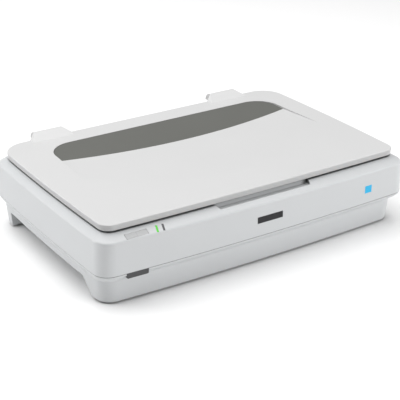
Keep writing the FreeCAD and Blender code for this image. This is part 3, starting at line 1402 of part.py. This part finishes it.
def stepper_motor():
    half = MOTOR / 2
    y1 = PLATE_Y
    body = box(DRIVE_X - half, DRIVE_X + half, y1 - MOTOR_LENGTH, y1, MOTOR_Z - half, MOTOR_Z + half)
    body = body.makeChamfer(3.0, edges_along(body, Y_AXIS))
    boss = rod_y(DRIVE_X, MOTOR_Z, MOTOR_R, y1, y1 + MOTOR_BOSS)
    shaft = rod_y(DRIVE_X, MOTOR_Z, MOTOR_SHAFT_R, y1, GEAR_Y + GEAR_WIDTH)
    return body.fuse([boss, shaft])


def motor_bracket():
    """Upright plate that holds the motor and, riveted in, the gear's shaft."""
    half = MOTOR / 2 + 3
    y1 = PLATE_Y + PLATE
    plate = box(DRIVE_X - half, DRIVE_X + half, PLATE_Y, y1, FLOOR_Z, BELT_Z + 2 * FLANGE_R)
    foot = box(DRIVE_X - half, DRIVE_X + half, y1, y1 + 2 * PLATE, FLOOR_Z, FLOOR_Z + PLATE / 2)
    shaft = rod_y(DRIVE_X, BELT_Z, SHAFT_R, y1, BELT_Y + BELT_WIDTH / 2 + 2 * FLANGE)
    bracket = plate.fuse([foot, shaft]).removeSplitter()
    return bracket.cut(rod_y(DRIVE_X, MOTOR_Z, MOTOR_R, PLATE_Y - 1, y1 + 1))


def idler_pulley():
    return drum(IDLER_X, PULLEY_Y).cut(rod_y(IDLER_X, BELT_Z, SHAFT_R + RUN, PLATE_Y, REAR_Y))


def tension_y():
    return PLATE_Y - 2 * PLATE


def idler_bracket():
    """Upright with the pulley's stud, and a foot with the spring's tab."""
    x0 = IDLER_X - IDLER_HALF
    x1 = IDLER_X + IDLER_HALF
    y1 = PLATE_Y + PLATE
    front = y1 - IDLER_FOOT
    upright = box(x0, x1, PLATE_Y, y1, FLOOR_Z, BELT_Z + IDLER_HALF)
    foot = box(x0, x1, front, y1, FLOOR_Z, FLOOR_Z + PLATE)
    tab = box(x1 - PLATE, x1, front, PLATE_Y, FLOOR_Z, FLOOR_Z + IDLER_TAB)
    shoulder = rod_y(IDLER_X, BELT_Z, IDLER_STUD_R, y1, PULLEY_Y - FIT)
    stud = rod_y(IDLER_X, BELT_Z, SHAFT_R, y1, BELT_Y + BELT_WIDTH / 2 + 2 * FLANGE)
    return upright.fuse([foot, tab, shoulder, stud]).removeSplitter()


def tension_spring():
    start = V(IDLER_X + IDLER_HALF + FIT + TENSION_WIRE, tension_y(), FLOOR_Z + 3 * PLATE)
    pitch = (TENSION_LENGTH - 2 * TENSION_WIRE) / TENSION_TURNS
    return coil(start, X_AXIS, TENSION_R, pitch, TENSION_TURNS, TENSION_WIRE)


def stadium(r, y0, y1):
    bar = box(IDLER_X, DRIVE_X, y0, y1, BELT_Z - r, BELT_Z + r)
    return bar.fuse([rod_y(x, BELT_Z, r, y0, y1) for x in (IDLER_X, DRIVE_X)]).removeSplitter()


def drive_belt():
    y0 = BELT_Y - BELT_WIDTH / 2
    y1 = BELT_Y + BELT_WIDTH / 2
    return stadium(BELT_R + BELT, y0, y1).cut(stadium(BELT_R, y0, y1))


# ----------------------------------------------------------------- electronics
def board_plate(board):
    x0, x1, y0, y1 = board
    z0 = FLOOR_Z + STANDOFF
    return box(x0, x1, y0, y1, z0, z0 + BOARD)


def blocks_on(board, places):
    """Blocks on a board, each placed from the board's front left corner."""
    x0, _, y0, _ = board
    z0 = FLOOR_Z + STANDOFF + BOARD
    return [box(x0 + x, x0 + x + dx, y0 + y, y0 + y + dy, z0, z0 + dz)
            for x, y, dx, dy, dz in places]


def main_board_parts():
    """Chips, connectors and a finned heat sink on the main board."""
    length, thick, high = HEAT_SINK
    pitch = (length - FIN) / (FINS - 1)
    base = blocks_on(MAIN_BOARD, [(HEAT_SINK_X, HEAT_SINK_Y, length, length, thick)])[0]
    fins = blocks_on(MAIN_BOARD, [(HEAT_SINK_X, HEAT_SINK_Y + i * pitch, length, FIN, high)
                                  for i in range(FINS)])
    return group(blocks_on(MAIN_BOARD, MAIN_BLOCKS) + [base.fuse(fins).removeSplitter()])


def power_board_parts():
    """Transformer, coils, heat sinks and upright capacitors."""
    z0 = FLOOR_Z + STANDOFF + BOARD
    x0, _, y0, _ = POWER_BOARD
    cans = [post_z(x0 + x, y0 + y, CAN_R, z0, z0 + CAN_HEIGHT) for x, y in CANS]
    return group(cans + blocks_on(POWER_BOARD, POWER_BLOCKS))


def carriage_ribbon():
    """Flat cable: along the floor, one fold, back to the carriage's underside."""
    y0 = RIBBON_Y - RIBBON_WIDTH / 2
    y1 = RIBBON_Y + RIBBON_WIDTH / 2
    x = RIBBON_FOLD_X
    z = RIBBON_Z + RIBBON_R
    low = box(x, RIBBON_X1, y0, y1, z - RIBBON_R, z - RIBBON_R + RIBBON)
    high = box(x, HOME_X + RIBBON_END, y0, y1, z + RIBBON_R - RIBBON, z + RIBBON_R)
    ring = rod_y(x, z, RIBBON_R, y0, y1).cut(rod_y(x, z, RIBBON_R - RIBBON, y0, y1))
    fold = ring.cut(box(x, x + 2 * RIBBON_R, y0, y1, z - RIBBON_R, z + RIBBON_R))
    return fold.fuse([low, high]).removeSplitter()


def ribbon_hook():
    """Moulded bridge on the floor that holds the ribbon's fixed end."""
    half = RIBBON_WIDTH / 2 + FIT
    x0 = RIBBON_X1 - HOOK_LENGTH
    top = RIBBON_Z + RIBBON + HOOK
    bridge = box(x0, RIBBON_X1, RIBBON_Y - half - HOOK, RIBBON_Y + half + HOOK,
                 FLOOR_Z - WALL / 2, top)
    room = box(x0 - 1, RIBBON_X1 + 1, RIBBON_Y - half, RIBBON_Y + half,
               FLOOR_Z, RIBBON_Z + RIBBON)
    return bridge.cut(room)


def ribbon_socket():
    """Socket under the carriage where the ribbon plugs in."""
    y0 = RIBBON_Y - RIBBON_WIDTH / 2 - 1
    return carriage_box(RIBBON_END - RIBBON_SOCKET, RIBBON_END, y0, y0 + RIBBON_WIDTH + 2,
                        RIBBON_Z + 2 * RIBBON_R, CAR_Z)


# ------------------------------------------------------------------ rear panel
def panel_face_y():
    """Outer face of the connector plate, just inside the tapered rear wall."""
    run_in = (BASE_REAR - COVE_REAR) * (FLOOR_Z - SKIRT_Z) / (COVE_Z - SKIRT_Z)
    return REAR_INSIDE - BASE_REAR + run_in - SEAM


def port_body(x, size, mouth, back, proud, depth):
    """Block through the connector plate with a rear-facing mouth."""
    z = (PANEL_Z[0] + PANEL_Z[1]) / 2
    face = panel_face_y()
    w, h = size[0] / 2, size[1] / 2
    block = box(x - w, x + w, face - back, face + proud, z - h, z + h)
    w, h = mouth[0] / 2, mouth[1] / 2
    return block.cut(box(x - w, x + w, face + proud - depth, face + proud, z - h, z + h))


def connector_plate():
    x0, x1 = PANEL_X
    z0, z1 = PANEL_Z
    face = panel_face_y()
    plate = box(x0 - PANEL_LAP, x1 + PANEL_LAP, face - PANEL_PLATE, face,
                FLOOR_Z, z1 + PANEL_LAP)
    z = (z0 + z1) / 2
    holes = []
    for x, (w, h) in ((INLET_X, INLET), (USB_X, USB), (OPTION_X, OPTION)):
        holes.append(box(x - w / 2, x + w / 2, face - 2 * PANEL_PLATE, face + PANEL_PLATE,
                         z - h / 2, z + h / 2))
    return plate.cut(holes)


def mains_inlet():
    body = port_body(INLET_X, INLET, INLET_MOUTH, INLET_BACK, 0, INLET_DEPTH)
    z = (PANEL_Z[0] + PANEL_Z[1]) / 2
    face = panel_face_y()
    w, h = INLET_RIM[0] / 2, INLET_RIM[1] / 2
    rim = box(INLET_X - w, INLET_X + w, face, face + INLET_FLANGE, z - h, z + h)
    w, h = INLET_MOUTH[0] / 2, INLET_MOUTH[1] / 2
    rim = rim.cut(box(INLET_X - w, INLET_X + w, face, face + INLET_FLANGE, z - h, z + h))
    return body.fuse(rim).removeSplitter()


def inlet_pins():
    z = (PANEL_Z[0] + PANEL_Z[1]) / 2
    face = panel_face_y()
    w, h = INLET_PIN[0] / 2, INLET_PIN[1] / 2
    places = [(-INLET_PITCH, -INLET_EARTH / 2), (0, INLET_EARTH / 2),
              (INLET_PITCH, -INLET_EARTH / 2)]
    return group([box(INLET_X + x - w, INLET_X + x + w, face - INLET_DEPTH, face - 2 * INLET_PIN[0],
                      z + dz - h, z + dz + h) for x, dz in places])


def port(x, size, mouth, tongue):
    """Data port: a shell with a contact tongue in it."""
    shell = port_body(x, size, mouth, PORT_BACK, PORT_PROUD, PORT_DEPTH)
    z = (PANEL_Z[0] + PANEL_Z[1]) / 2
    mouth_y = panel_face_y() + PORT_PROUD
    w, h = tongue[0] / 2, tongue[1] / 2
    bar = box(x - w, x + w, mouth_y - PORT_DEPTH, mouth_y - TONGUE_SUNK, z - h, z + h)
    return group([shell, bar])


PARTS = {
    "upper_housing": upper_housing,
    "lower_housing": lower_housing,
    "rubber_feet": rubber_feet,
    "housing_screws": housing_screws,
    "badge_plate": lambda: badge_box(0),
    "square_label": square_label,
    "platen_glass": lambda: glass_pocket(0),
    "calibration_strip": calibration_strip,
    "scale_strips": lambda: group(strip_boxes(0)),
    "power_button": lambda: button(-1),
    "start_button": lambda: button(1),
    "power_light_bar": lambda: light_lens(POWER_LIGHT_X),
    "error_light_bar": lambda: light_lens(ERROR_LIGHT_X),
    "control_board": control_board,
    "transport_lock": transport_lock,
    "lid_top_cover": lid_top_cover,
    "crescent_panel": crescent_panel,
    "lid_inner_cover": lid_inner_cover,
    "document_mat": document_mat,
    "lid_bumpers": lid_bumpers,
    "lid_screws": lid_screws,
    "hinge_brackets": lambda: group([hinge_bracket(x) for x in HINGE_XS]),
    "hinge_pins": hinge_pins,
    "hinge_springs": hinge_springs,
    "hinge_posts": lambda: group([hinge_post(x) for x in HINGE_XS]),
    "hinge_sockets": lambda: group([hinge_socket(x) for x in HINGE_XS]),
    "socket_screws": socket_screws,
    "carriage_housing": carriage_housing,
    "carriage_cover": carriage_cover,
    "light_bars": light_bars,
    "scan_mirrors": scan_mirrors,
    "lens_holder": lens_holder,
    "lens": lens,
    "sensor_board": sensor_board,
    "image_sensor": image_sensor,
    "rod_bushes": rod_bushes,
    "slide_shoe": slide_shoe,
    "belt_clamp": belt_clamp,
    "ribbon_socket": ribbon_socket,
    "guide_rod": guide_rod,
    "rod_brackets": lambda: group([rod_bracket(-1), rod_bracket(1)]),
    "slide_rail": slide_rail,
    "drive_belt": drive_belt,
    "drive_gear": drive_gear,
    "motor_pinion": motor_pinion,
    "stepper_motor": stepper_motor,
    "motor_bracket": motor_bracket,
    "idler_pulley": idler_pulley,
    "idler_bracket": idler_bracket,
    "tension_spring": tension_spring,
    "main_board": lambda: board_plate(MAIN_BOARD),
    "main_board_parts": main_board_parts,
    "power_board": lambda: board_plate(POWER_BOARD),
    "power_board_parts": power_board_parts,
    "carriage_ribbon": carriage_ribbon,
    "connector_plate": connector_plate,
    "mains_inlet": mains_inlet,
    "inlet_pins": inlet_pins,
    "usb_port": lambda: port(USB_X, USB, USB_MOUTH, USB_TONGUE),
    "option_port": lambda: port(OPTION_X, OPTION, OPTION_MOUTH, OPTION_TONGUE),
}


def main():
    os.makedirs("parts", exist_ok=True)
    for name, make in PARTS.items():
        export(name, make())


main()
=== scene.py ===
import math

import bpy
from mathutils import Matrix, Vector


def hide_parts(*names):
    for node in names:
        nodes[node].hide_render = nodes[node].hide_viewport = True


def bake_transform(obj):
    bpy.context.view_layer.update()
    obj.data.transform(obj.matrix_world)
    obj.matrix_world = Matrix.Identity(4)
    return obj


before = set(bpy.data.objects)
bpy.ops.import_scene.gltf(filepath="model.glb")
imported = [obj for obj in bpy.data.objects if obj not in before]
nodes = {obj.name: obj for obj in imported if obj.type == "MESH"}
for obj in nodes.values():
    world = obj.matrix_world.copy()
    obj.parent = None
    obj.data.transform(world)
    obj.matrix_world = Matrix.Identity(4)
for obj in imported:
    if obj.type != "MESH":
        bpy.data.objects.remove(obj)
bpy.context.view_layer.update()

# The looks of the flatbed scanner. Metres, in the frame of the CAD model: the
# origin on the floor under the middle, X to the right, -Y to the front.

# ---------------------------------------------------------------------- camera
CAMERA_PLACE = (-1.0668, -1.6553, 0.9511)
CAMERA_AZIMUTH = -32.95      # degrees, 0 looks along +Y
CAMERA_PITCH = 24.84         # degrees below level
LENS = 101.97                # mm
SENSOR = 36                  # mm


def add_camera():
    data = bpy.data.cameras.new("camera")
    data.lens = LENS
    data.sensor_width = SENSOR
    camera = bpy.data.objects.new("camera", data)
    camera.location = CAMERA_PLACE
    camera.rotation_euler = (math.radians(90 - CAMERA_PITCH), 0,
                             math.radians(CAMERA_AZIMUTH))
    bpy.context.collection.objects.link(camera)
    bpy.context.scene.camera = camera


# ----------------------------------------------------------------- floor, light
FLOOR_SIZE = 12.0
FLOOR_TONE = 0.95
FLOOR_ROUGHNESS = 0.9
FLOOR_GLOSS = 0.1
AMBIENT = 0.20
LIGHT_TARGET = (0, 0, 0.1)
# name, place, size, watts
SOFTBOXES = [
    ("overhead_softbox", (-0.5, 0.45, 3.0), (4.0, 4.0), 127),
    ("left_softbox", (-2.9, 2.6, 1.3), (2.0, 1.8), 50),
    ("right_softbox", (2.7, -2.9, 1.2), (2.0, 1.8), 84),
]


def add_floor():
    mesh = bpy.data.meshes.new("studio_floor")
    half = FLOOR_SIZE / 2
    corners = [(-half, -half, 0), (half, -half, 0), (half, half, 0), (-half, half, 0)]
    mesh.from_pydata(corners, [], [(0, 1, 2, 3)])
    floor = bpy.data.objects.new("studio_floor", mesh)
    bpy.context.collection.objects.link(floor)
    material, shader = new_material("studio_paper")
    shader.inputs["Base Color"].default_value = (FLOOR_TONE, FLOOR_TONE, FLOOR_TONE, 1)
    shader.inputs["Roughness"].default_value = FLOOR_ROUGHNESS
    shader.inputs["Specular IOR Level"].default_value = FLOOR_GLOSS
    mesh.materials.append(material)


def add_softbox(name, place, size, power):
    data = bpy.data.lights.new(name, "AREA")
    data.shape = "RECTANGLE"
    data.size, data.size_y = size
    data.energy = power
    lamp = bpy.data.objects.new(name, data)
    lamp.location = place
    aim = Vector(LIGHT_TARGET) - Vector(place)
    lamp.rotation_euler = aim.to_track_quat("-Z", "Y").to_euler()
    bpy.context.collection.objects.link(lamp)


def add_lights():
    world = bpy.data.worlds.new("studio")
    bpy.context.scene.world = world
    world.use_nodes = True
    background = world.node_tree.nodes["Background"]
    background.inputs["Color"].default_value = (1, 1, 1, 1)
    background.inputs["Strength"].default_value = AMBIENT
    for softbox in SOFTBOXES:
        add_softbox(*softbox)


# ------------------------------------------------------------------- materials
# painted shade in gaps, from ambient occlusion
GAP_SAMPLES = 8
GAP_SHUT, GAP_OPEN = 0.15, 0.55        # openness that counts as shut and as open
# painted shade on upright sides, by how far a face looks up
SIDE_FACING, TOP_FACING = 0.25, 0.75   # how far a face looks up
GLASS_IOR = 1.52
ROUGHNESS_SWING = 0.06
MOTTLE_SIZE = 0.11
FOAM_CELLS = 900              # per metre
CABLE_BANDS = 160
TRACK_LENGTH = 0.014
TRACK_SPACING = 0.0021
TRACK_WIDTH = 0.00022

# scale of a pattern along X, Y and Z: a small number draws it out that way
ALONG_X = (0.06, 1, 1)
ALONG_Y = (1, 0.06, 1)
AROUND_X = (1, 0.06, 0.06)
EVEN = (1, 1, 1)


def new_material(name):
    material = bpy.data.materials.new(name)
    material.use_nodes = True
    return material, material.node_tree.nodes["Principled BSDF"]


class Finish:
    """A material built up from patterns laid in the piece's own coordinates."""

    def __init__(self, name, colour, roughness):
        self.material, self.shader = new_material(name)
        self.tree = self.material.node_tree
        self.place = self.add("ShaderNodeTexCoord").outputs["Object"]
        self.set("Base Color", (*colour, 1))
        self.set("Roughness", roughness)

    def add(self, kind, **settings):
        node = self.tree.nodes.new(kind)
        for key, value in settings.items():
            setattr(node, key, value)
        return node

    def set(self, socket, value):
        self.shader.inputs[socket].default_value = value

    def link(self, source, target):
        self.tree.links.new(source, target)

    def noise(self, size, detail=2.0, stretch=EVEN):
        """Noise whose lumps are about size metres across."""
        mapping = self.add("ShaderNodeMapping")
        mapping.inputs["Scale"].default_value = stretch
        self.link(self.place, mapping.inputs["Vector"])
        texture = self.add("ShaderNodeTexNoise")
        texture.inputs["Scale"].default_value = 1 / size
        texture.inputs["Detail"].default_value = detail
        self.link(mapping.outputs["Vector"], texture.inputs["Vector"])
        return texture.outputs["Fac"]

    def spread(self, value, low, high):
        """Map a pattern's 0..1 to low..high."""
        node = self.add("ShaderNodeMapRange")
        node.inputs["To Min"].default_value = low
        node.inputs["To Max"].default_value = high
        self.link(value, node.inputs["Value"])
        return node.outputs["Result"]

    def tint(self, value, dark, light):
        """Colour from dark to light by a pattern."""
        mix = self.add("ShaderNodeMix", data_type="RGBA")
        mix.inputs["A"].default_value = (*dark, 1)
        mix.inputs["B"].default_value = (*light, 1)
        self.link(value, mix.inputs["Factor"])
        return mix.outputs["Result"]

    def times(self, colour, factor):
        """A colour multiplied by a single value."""
        node = self.add("ShaderNodeVectorMath", operation="SCALE")
        self.link(colour, node.inputs[0])
        self.link(factor, node.inputs["Scale"])
        return node.outputs["Vector"]

    def gaps(self, reach, floor):
        """Painted shade: 1 in the open, falling to floor in gaps narrower than about reach
        metres.
        """
        node = self.add("ShaderNodeAmbientOcclusion", samples=GAP_SAMPLES)
        node.inputs["Distance"].default_value = reach
        ramp = self.add("ShaderNodeMapRange")
        ramp.inputs["From Min"].default_value = GAP_SHUT
        ramp.inputs["From Max"].default_value = GAP_OPEN
        ramp.inputs["To Min"].default_value = floor
        self.link(node.outputs["AO"], ramp.inputs["Value"])
        return ramp.outputs["Result"]

    def upright(self, tone):
        """Painted shade: 1 on level faces, tone on upright ones, by the piece's own up
        direction.
        """
        normal = self.add("ShaderNodeTexCoord").outputs["Normal"]
        split = self.add("ShaderNodeSeparateXYZ")
        self.link(normal, split.inputs[0])
        ramp = self.add("ShaderNodeMapRange")
        ramp.inputs["From Min"].default_value = SIDE_FACING
        ramp.inputs["From Max"].default_value = TOP_FACING
        ramp.inputs["To Min"].default_value = tone
        self.link(split.outputs["Z"], ramp.inputs["Value"])
        return ramp.outputs["Result"]

    def bump(self, value, depth):
        """Relief of so many metres from a pattern, over what is there."""
        node = self.add("ShaderNodeBump")
        node.inputs["Distance"].default_value = depth
        self.link(value, node.inputs["Height"])
        socket = self.shader.inputs["Normal"]
        if socket.is_linked:
            self.link(socket.links[0].from_socket, node.inputs["Normal"])
        self.link(node.outputs["Normal"], socket)


def shade(colour, factor):
    return tuple(min(1.0, c * factor) for c in colour)


def plastic(name, colour, roughness, grain=0.0009, depth=0.00002, mottle=0.015,
            gloss=0.5, gap_shade=0.0, gap_reach=0.012, side_shade=1.0):
    """Moulded plastic: spark-eroded grain, uneven gloss and a faint mottle.

    The gap argument paints shade into gaps narrower than gap_reach, darkening them by
    that share. The side argument paints shade on the upright sides, a tone against the top.
    """
    f = Finish(name, colour, roughness)
    f.set("Specular IOR Level", gloss)
    fine = f.noise(grain, 3.0)
    broad = f.noise(MOTTLE_SIZE)
    f.bump(fine, depth)
    f.link(f.spread(fine, roughness - ROUGHNESS_SWING, roughness + ROUGHNESS_SWING),
           f.shader.inputs["Roughness"])
    look = f.tint(broad, shade(colour, 1 - mottle), shade(colour, 1 + mottle))
    # painted shade on the upright sides
    if side_shade != 1.0:
        look = f.times(look, f.upright(side_shade))
    # painted shade in narrow gaps
    if gap_shade:
        look = f.times(look, f.gaps(gap_reach, 1 - gap_shade))
    f.link(look, f.shader.inputs["Base Color"])
    return f


def rubber(name, colour):
    """Matte rubber: a dusty bloom over a coarse skin."""
    f = Finish(name, colour, 0.85)
    skin = f.noise(0.0004, 4.0)
    bloom = f.noise(0.006, 3.0)
    f.bump(skin, 0.00005)
    f.link(f.tint(bloom, shade(colour, 0.7), shade(colour, 1.6)),
           f.shader.inputs["Base Color"])
    return f


def lit(name, colour, glow):
    """Light guide: glossy plastic that glows, a little unevenly."""
    f = plastic(name, colour, 0.25)
    f.set("Emission Color", (*colour, 1))
    f.link(f.spread(f.noise(0.004), 0.7 * glow, 1.3 * glow),
           f.shader.inputs["Emission Strength"])
    return f


def clear(name, colour, haze=0.03):
    """Clear glass or plastic, with faint smears that catch the light."""
    f = Finish(name, colour, 0.0)
    f.set("Transmission Weight", 1.0)
    f.set("IOR", GLASS_IOR)
    f.link(f.spread(f.noise(0.03, 4.0), 0.0, haze), f.shader.inputs["Roughness"])
    f.link(f.tint(f.noise(0.2), shade(colour, 0.98), colour), f.shader.inputs["Base Color"])
    return f


def foam(name, colour):
    """Coated foam sheet: fine closed cells under a smooth white skin."""
    f = Finish(name, colour, 0.6)
    cells = f.add("ShaderNodeTexVoronoi", feature="SMOOTH_F1")
    cells.inputs["Scale"].default_value = FOAM_CELLS
    f.link(f.place, cells.inputs["Vector"])
    f.bump(cells.outputs["Distance"], 0.00004)
    f.link(f.tint(f.noise(0.09), shade(colour, 0.97), shade(colour, 1.02)),
           f.shader.inputs["Base Color"])
    return f


def board(name, colour):
    """Circuit board: solder mask over a lighter net of copper tracks."""
    f = Finish(name, colour, 0.4)
    tracks = f.add("ShaderNodeTexBrick")
    tracks.inputs["Color1"].default_value = (*colour, 1)
    tracks.inputs["Color2"].default_value = (*shade(colour, 1.25), 1)
    tracks.inputs["Mortar"].default_value = (*shade(colour, 2.2), 1)
    for socket, value in (("Scale", 1.0), ("Mortar Size", TRACK_WIDTH),
                          ("Brick Width", TRACK_LENGTH), ("Row Height", TRACK_SPACING)):
        tracks.inputs[socket].default_value = value
    f.link(f.place, tracks.inputs["Vector"])
    f.link(tracks.outputs["Color"], f.shader.inputs["Base Color"])
    f.bump(tracks.outputs["Fac"], 0.00003)
    f.link(f.spread(f.noise(0.002), 0.32, 0.5), f.shader.inputs["Roughness"])
    return f


def flat_cable(name, colour):
    """Laminated flat cable: grey conductors that run along X under white film."""
    f = Finish(name, colour, 0.4)
    bands = f.add("ShaderNodeTexWave", bands_direction="Y")
    bands.inputs["Scale"].default_value = CABLE_BANDS
    f.link(f.place, bands.inputs["Vector"])
    f.link(f.tint(bands.outputs["Fac"], shade(colour, 0.78), colour),
           f.shader.inputs["Base Color"])
    f.bump(bands.outputs["Fac"], 0.00004)
    f.link(f.spread(f.noise(0.01), 0.33, 0.5), f.shader.inputs["Roughness"])
    return f


def metal(name, colour, roughness, stretch=ALONG_X, size=0.0006, depth=0.00001):
    """Bare metal: tool marks drawn out along one way, and a clouded tone."""
    f = Finish(name, colour, roughness)
    f.set("Metallic", 1.0)
    lines = f.noise(size, 2.0, stretch)
    f.bump(lines, depth)
    spread = 0.4 * roughness
    f.link(f.spread(lines, roughness - spread, roughness + spread),
           f.shader.inputs["Roughness"])
    f.link(f.tint(f.noise(0.02), shade(colour, 0.9), shade(colour, 1.06)),
           f.shader.inputs["Base Color"])
    return f


FINISHES = {
    # the gap values paint shade into narrow gaps
    "housing_plastic": lambda n: plastic(n, (0.590, 0.602, 0.611), 0.45, gap_shade=0.92),
    # the side value paints shade on the lid's upright sides
    "lid_plastic": lambda n: plastic(n, (0.625, 0.625, 0.625), 0.42, gap_shade=0.9,
                                     gap_reach=0.004, side_shade=0.80),
    "crescent_grey": lambda n: plastic(n, (0.131, 0.133, 0.122), 0.38, grain=0.0005,
                                       mottle=0.05, gap_shade=0.6, gap_reach=0.003),
    "badge_dark": lambda n: plastic(n, (0.022, 0.022, 0.024), 0.35, mottle=0.1, gloss=0.25),
    "label_blue": lambda n: plastic(n, (0.03, 0.46, 0.78), 0.35, mottle=0.03, gloss=0.3),
    "lock_grey": lambda n: plastic(n, (0.075, 0.075, 0.077), 0.5, grain=0.0014,
                                   depth=0.00006, mottle=0.06, gloss=0.3),
    "button_grey": lambda n: plastic(n, (0.45, 0.455, 0.46), 0.4),
    "light_green": lambda n: lit(n, (0.06, 0.45, 0.015), 0.28),
    "light_dark": lambda n: plastic(n, (0.07, 0.07, 0.075), 0.25, gloss=0.4),
    "rubber_black": lambda n: rubber(n, (0.02, 0.02, 0.02)),
    "mat_white": lambda n: foam(n, (0.85, 0.85, 0.84)),
    "strip_grey": lambda n: plastic(n, (0.33, 0.34, 0.36), 0.45),
    "calibration_white": lambda n: plastic(n, (0.9, 0.9, 0.9), 0.8),
    "platen_clear": lambda n: clear(n, (0.93, 0.97, 0.955)),
    "inner_black": lambda n: plastic(n, (0.02, 0.02, 0.022), 0.6, mottle=0.15),
    "mirror_face": lambda n: metal(n, (0.92, 0.92, 0.93), 0.03, EVEN, 0.02, 0.0),
    "lens_black": lambda n: metal(n, (0.03, 0.03, 0.035), 0.3, AROUND_X),
    "light_guide": lambda n: clear(n, (0.92, 0.95, 0.98), 0.4),
    "sensor_dark": lambda n: plastic(n, (0.03, 0.03, 0.035), 0.2),
    "board_green": lambda n: board(n, (0.015, 0.12, 0.045)),
    "board_parts": lambda n: plastic(n, (0.02, 0.02, 0.022), 0.45, mottle=0.3),
    "bronze": lambda n: metal(n, (0.5, 0.3, 0.1), 0.45, EVEN, 0.0003, 0.00004),
    "acetal_white": lambda n: plastic(n, (0.78, 0.77, 0.72), 0.35, gap_shade=0.5),
    "ground_steel": lambda n: metal(n, (0.6, 0.6, 0.61), 0.18, AROUND_X, 0.0003),
    "zinc_steel": lambda n: metal(n, (0.5, 0.52, 0.55), 0.35, ALONG_X, 0.0012),
    "motor_steel": lambda n: metal(n, (0.2, 0.2, 0.22), 0.4, ALONG_Y),
    "spring_steel": lambda n: metal(n, (0.4, 0.4, 0.42), 0.3, EVEN, 0.0004),
    "brass_plain": lambda n: metal(n, (0.6, 0.42, 0.15), 0.3, ALONG_Y, 0.0004),
    "belt_black": lambda n: rubber(n, (0.015, 0.015, 0.015)),
    "cable_white": lambda n: flat_cable(n, (0.75, 0.75, 0.72)),
    "port_metal": lambda n: metal(n, (0.55, 0.55, 0.57), 0.3, ALONG_Y, 0.0004),
    "hinge_steel": lambda n: plastic(n, (0.17, 0.18, 0.19), 0.45, mottle=0.05),
}


def finish_nodes():
    made = {}
    for node in nodes.values():
        for holder in node.material_slots:
            name = holder.material.name
            if name not in made:
                made[name] = FINISHES[name](name + "_finish").material
            holder.material = made[name]
    return made


# ---------------------------------------------------------------- ribbon cable
RIBBON_Y = (-0.138, -0.118)
RIBBON_HALF = 0.0002         # half of its thickness
RIBBON_FLOOR = 0.036         # height of the floor run, to its middle
RIBBON_TURN = 0.0138         # fold radius, to the middle of the cable
RIBBON_X = (-0.0215, -0.2615, -0.2255)     # floor end, fold, carriage end
RIBBON_STEPS = 32


def ribbon_stations():
    """Points (x, z) along the middle of the cable, each with its outward normal."""
    floor_end, fold, carriage_end = RIBBON_X
    top = RIBBON_FLOOR + 2 * RIBBON_TURN
    stations = []
    for i in range(RIBBON_STEPS):
        x = floor_end + (fold - floor_end) * i / RIBBON_STEPS
        stations.append((x, RIBBON_FLOOR, 0.0, -1.0))
    for i in range(RIBBON_STEPS + 1):
        turn = math.pi * i / RIBBON_STEPS
        nx, nz = -math.sin(turn), -math.cos(turn)
        z = RIBBON_FLOOR + RIBBON_TURN * (1 + nz)
        stations.append((fold + RIBBON_TURN * nx, z, nx, nz))
    for i in range(1, RIBBON_STEPS + 1):
        x = fold + (carriage_end - fold) * i / RIBBON_STEPS
        stations.append((x, top, 0.0, 1.0))
    return stations


def add_ribbon(material):
    """Flat cable that folds back on itself. On the scanner the floor run stays and the
    upper run goes with the carriage; here it is built once, in one pose."""
    near, far = RIBBON_Y
    corners = ((near, RIBBON_HALF), (far, RIBBON_HALF),
               (far, -RIBBON_HALF), (near, -RIBBON_HALF))
    verts = [(x + nx * off, y, z + nz * off)
             for x, z, nx, nz in ribbon_stations() for y, off in corners]
    ring = len(corners)
    last = len(verts) - ring
    faces = []
    for start in range(0, last, ring):
        for i in range(ring):
            j = (i + 1) % ring
            faces.append((start + i, start + ring + i, start + ring + j, start + j))
    faces += [(0, 1, 2, 3), (last + 3, last + 2, last + 1, last)]
    mesh = bpy.data.meshes.new("ribbon_cable")
    mesh.from_pydata(verts, [], faces)
    mesh.materials.append(material)
    ribbon = bpy.data.objects.new("ribbon_cable", mesh)
    bpy.context.collection.objects.link(ribbon)
    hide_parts("carriage_ribbon")
    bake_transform(ribbon)


# ------------------------------------------------------------------------ make
add_camera()
add_floor()
add_lights()
made = finish_nodes()
add_ribbon(made["cable_white"])
bpy.context.scene.view_settings.view_transform = "Standard"
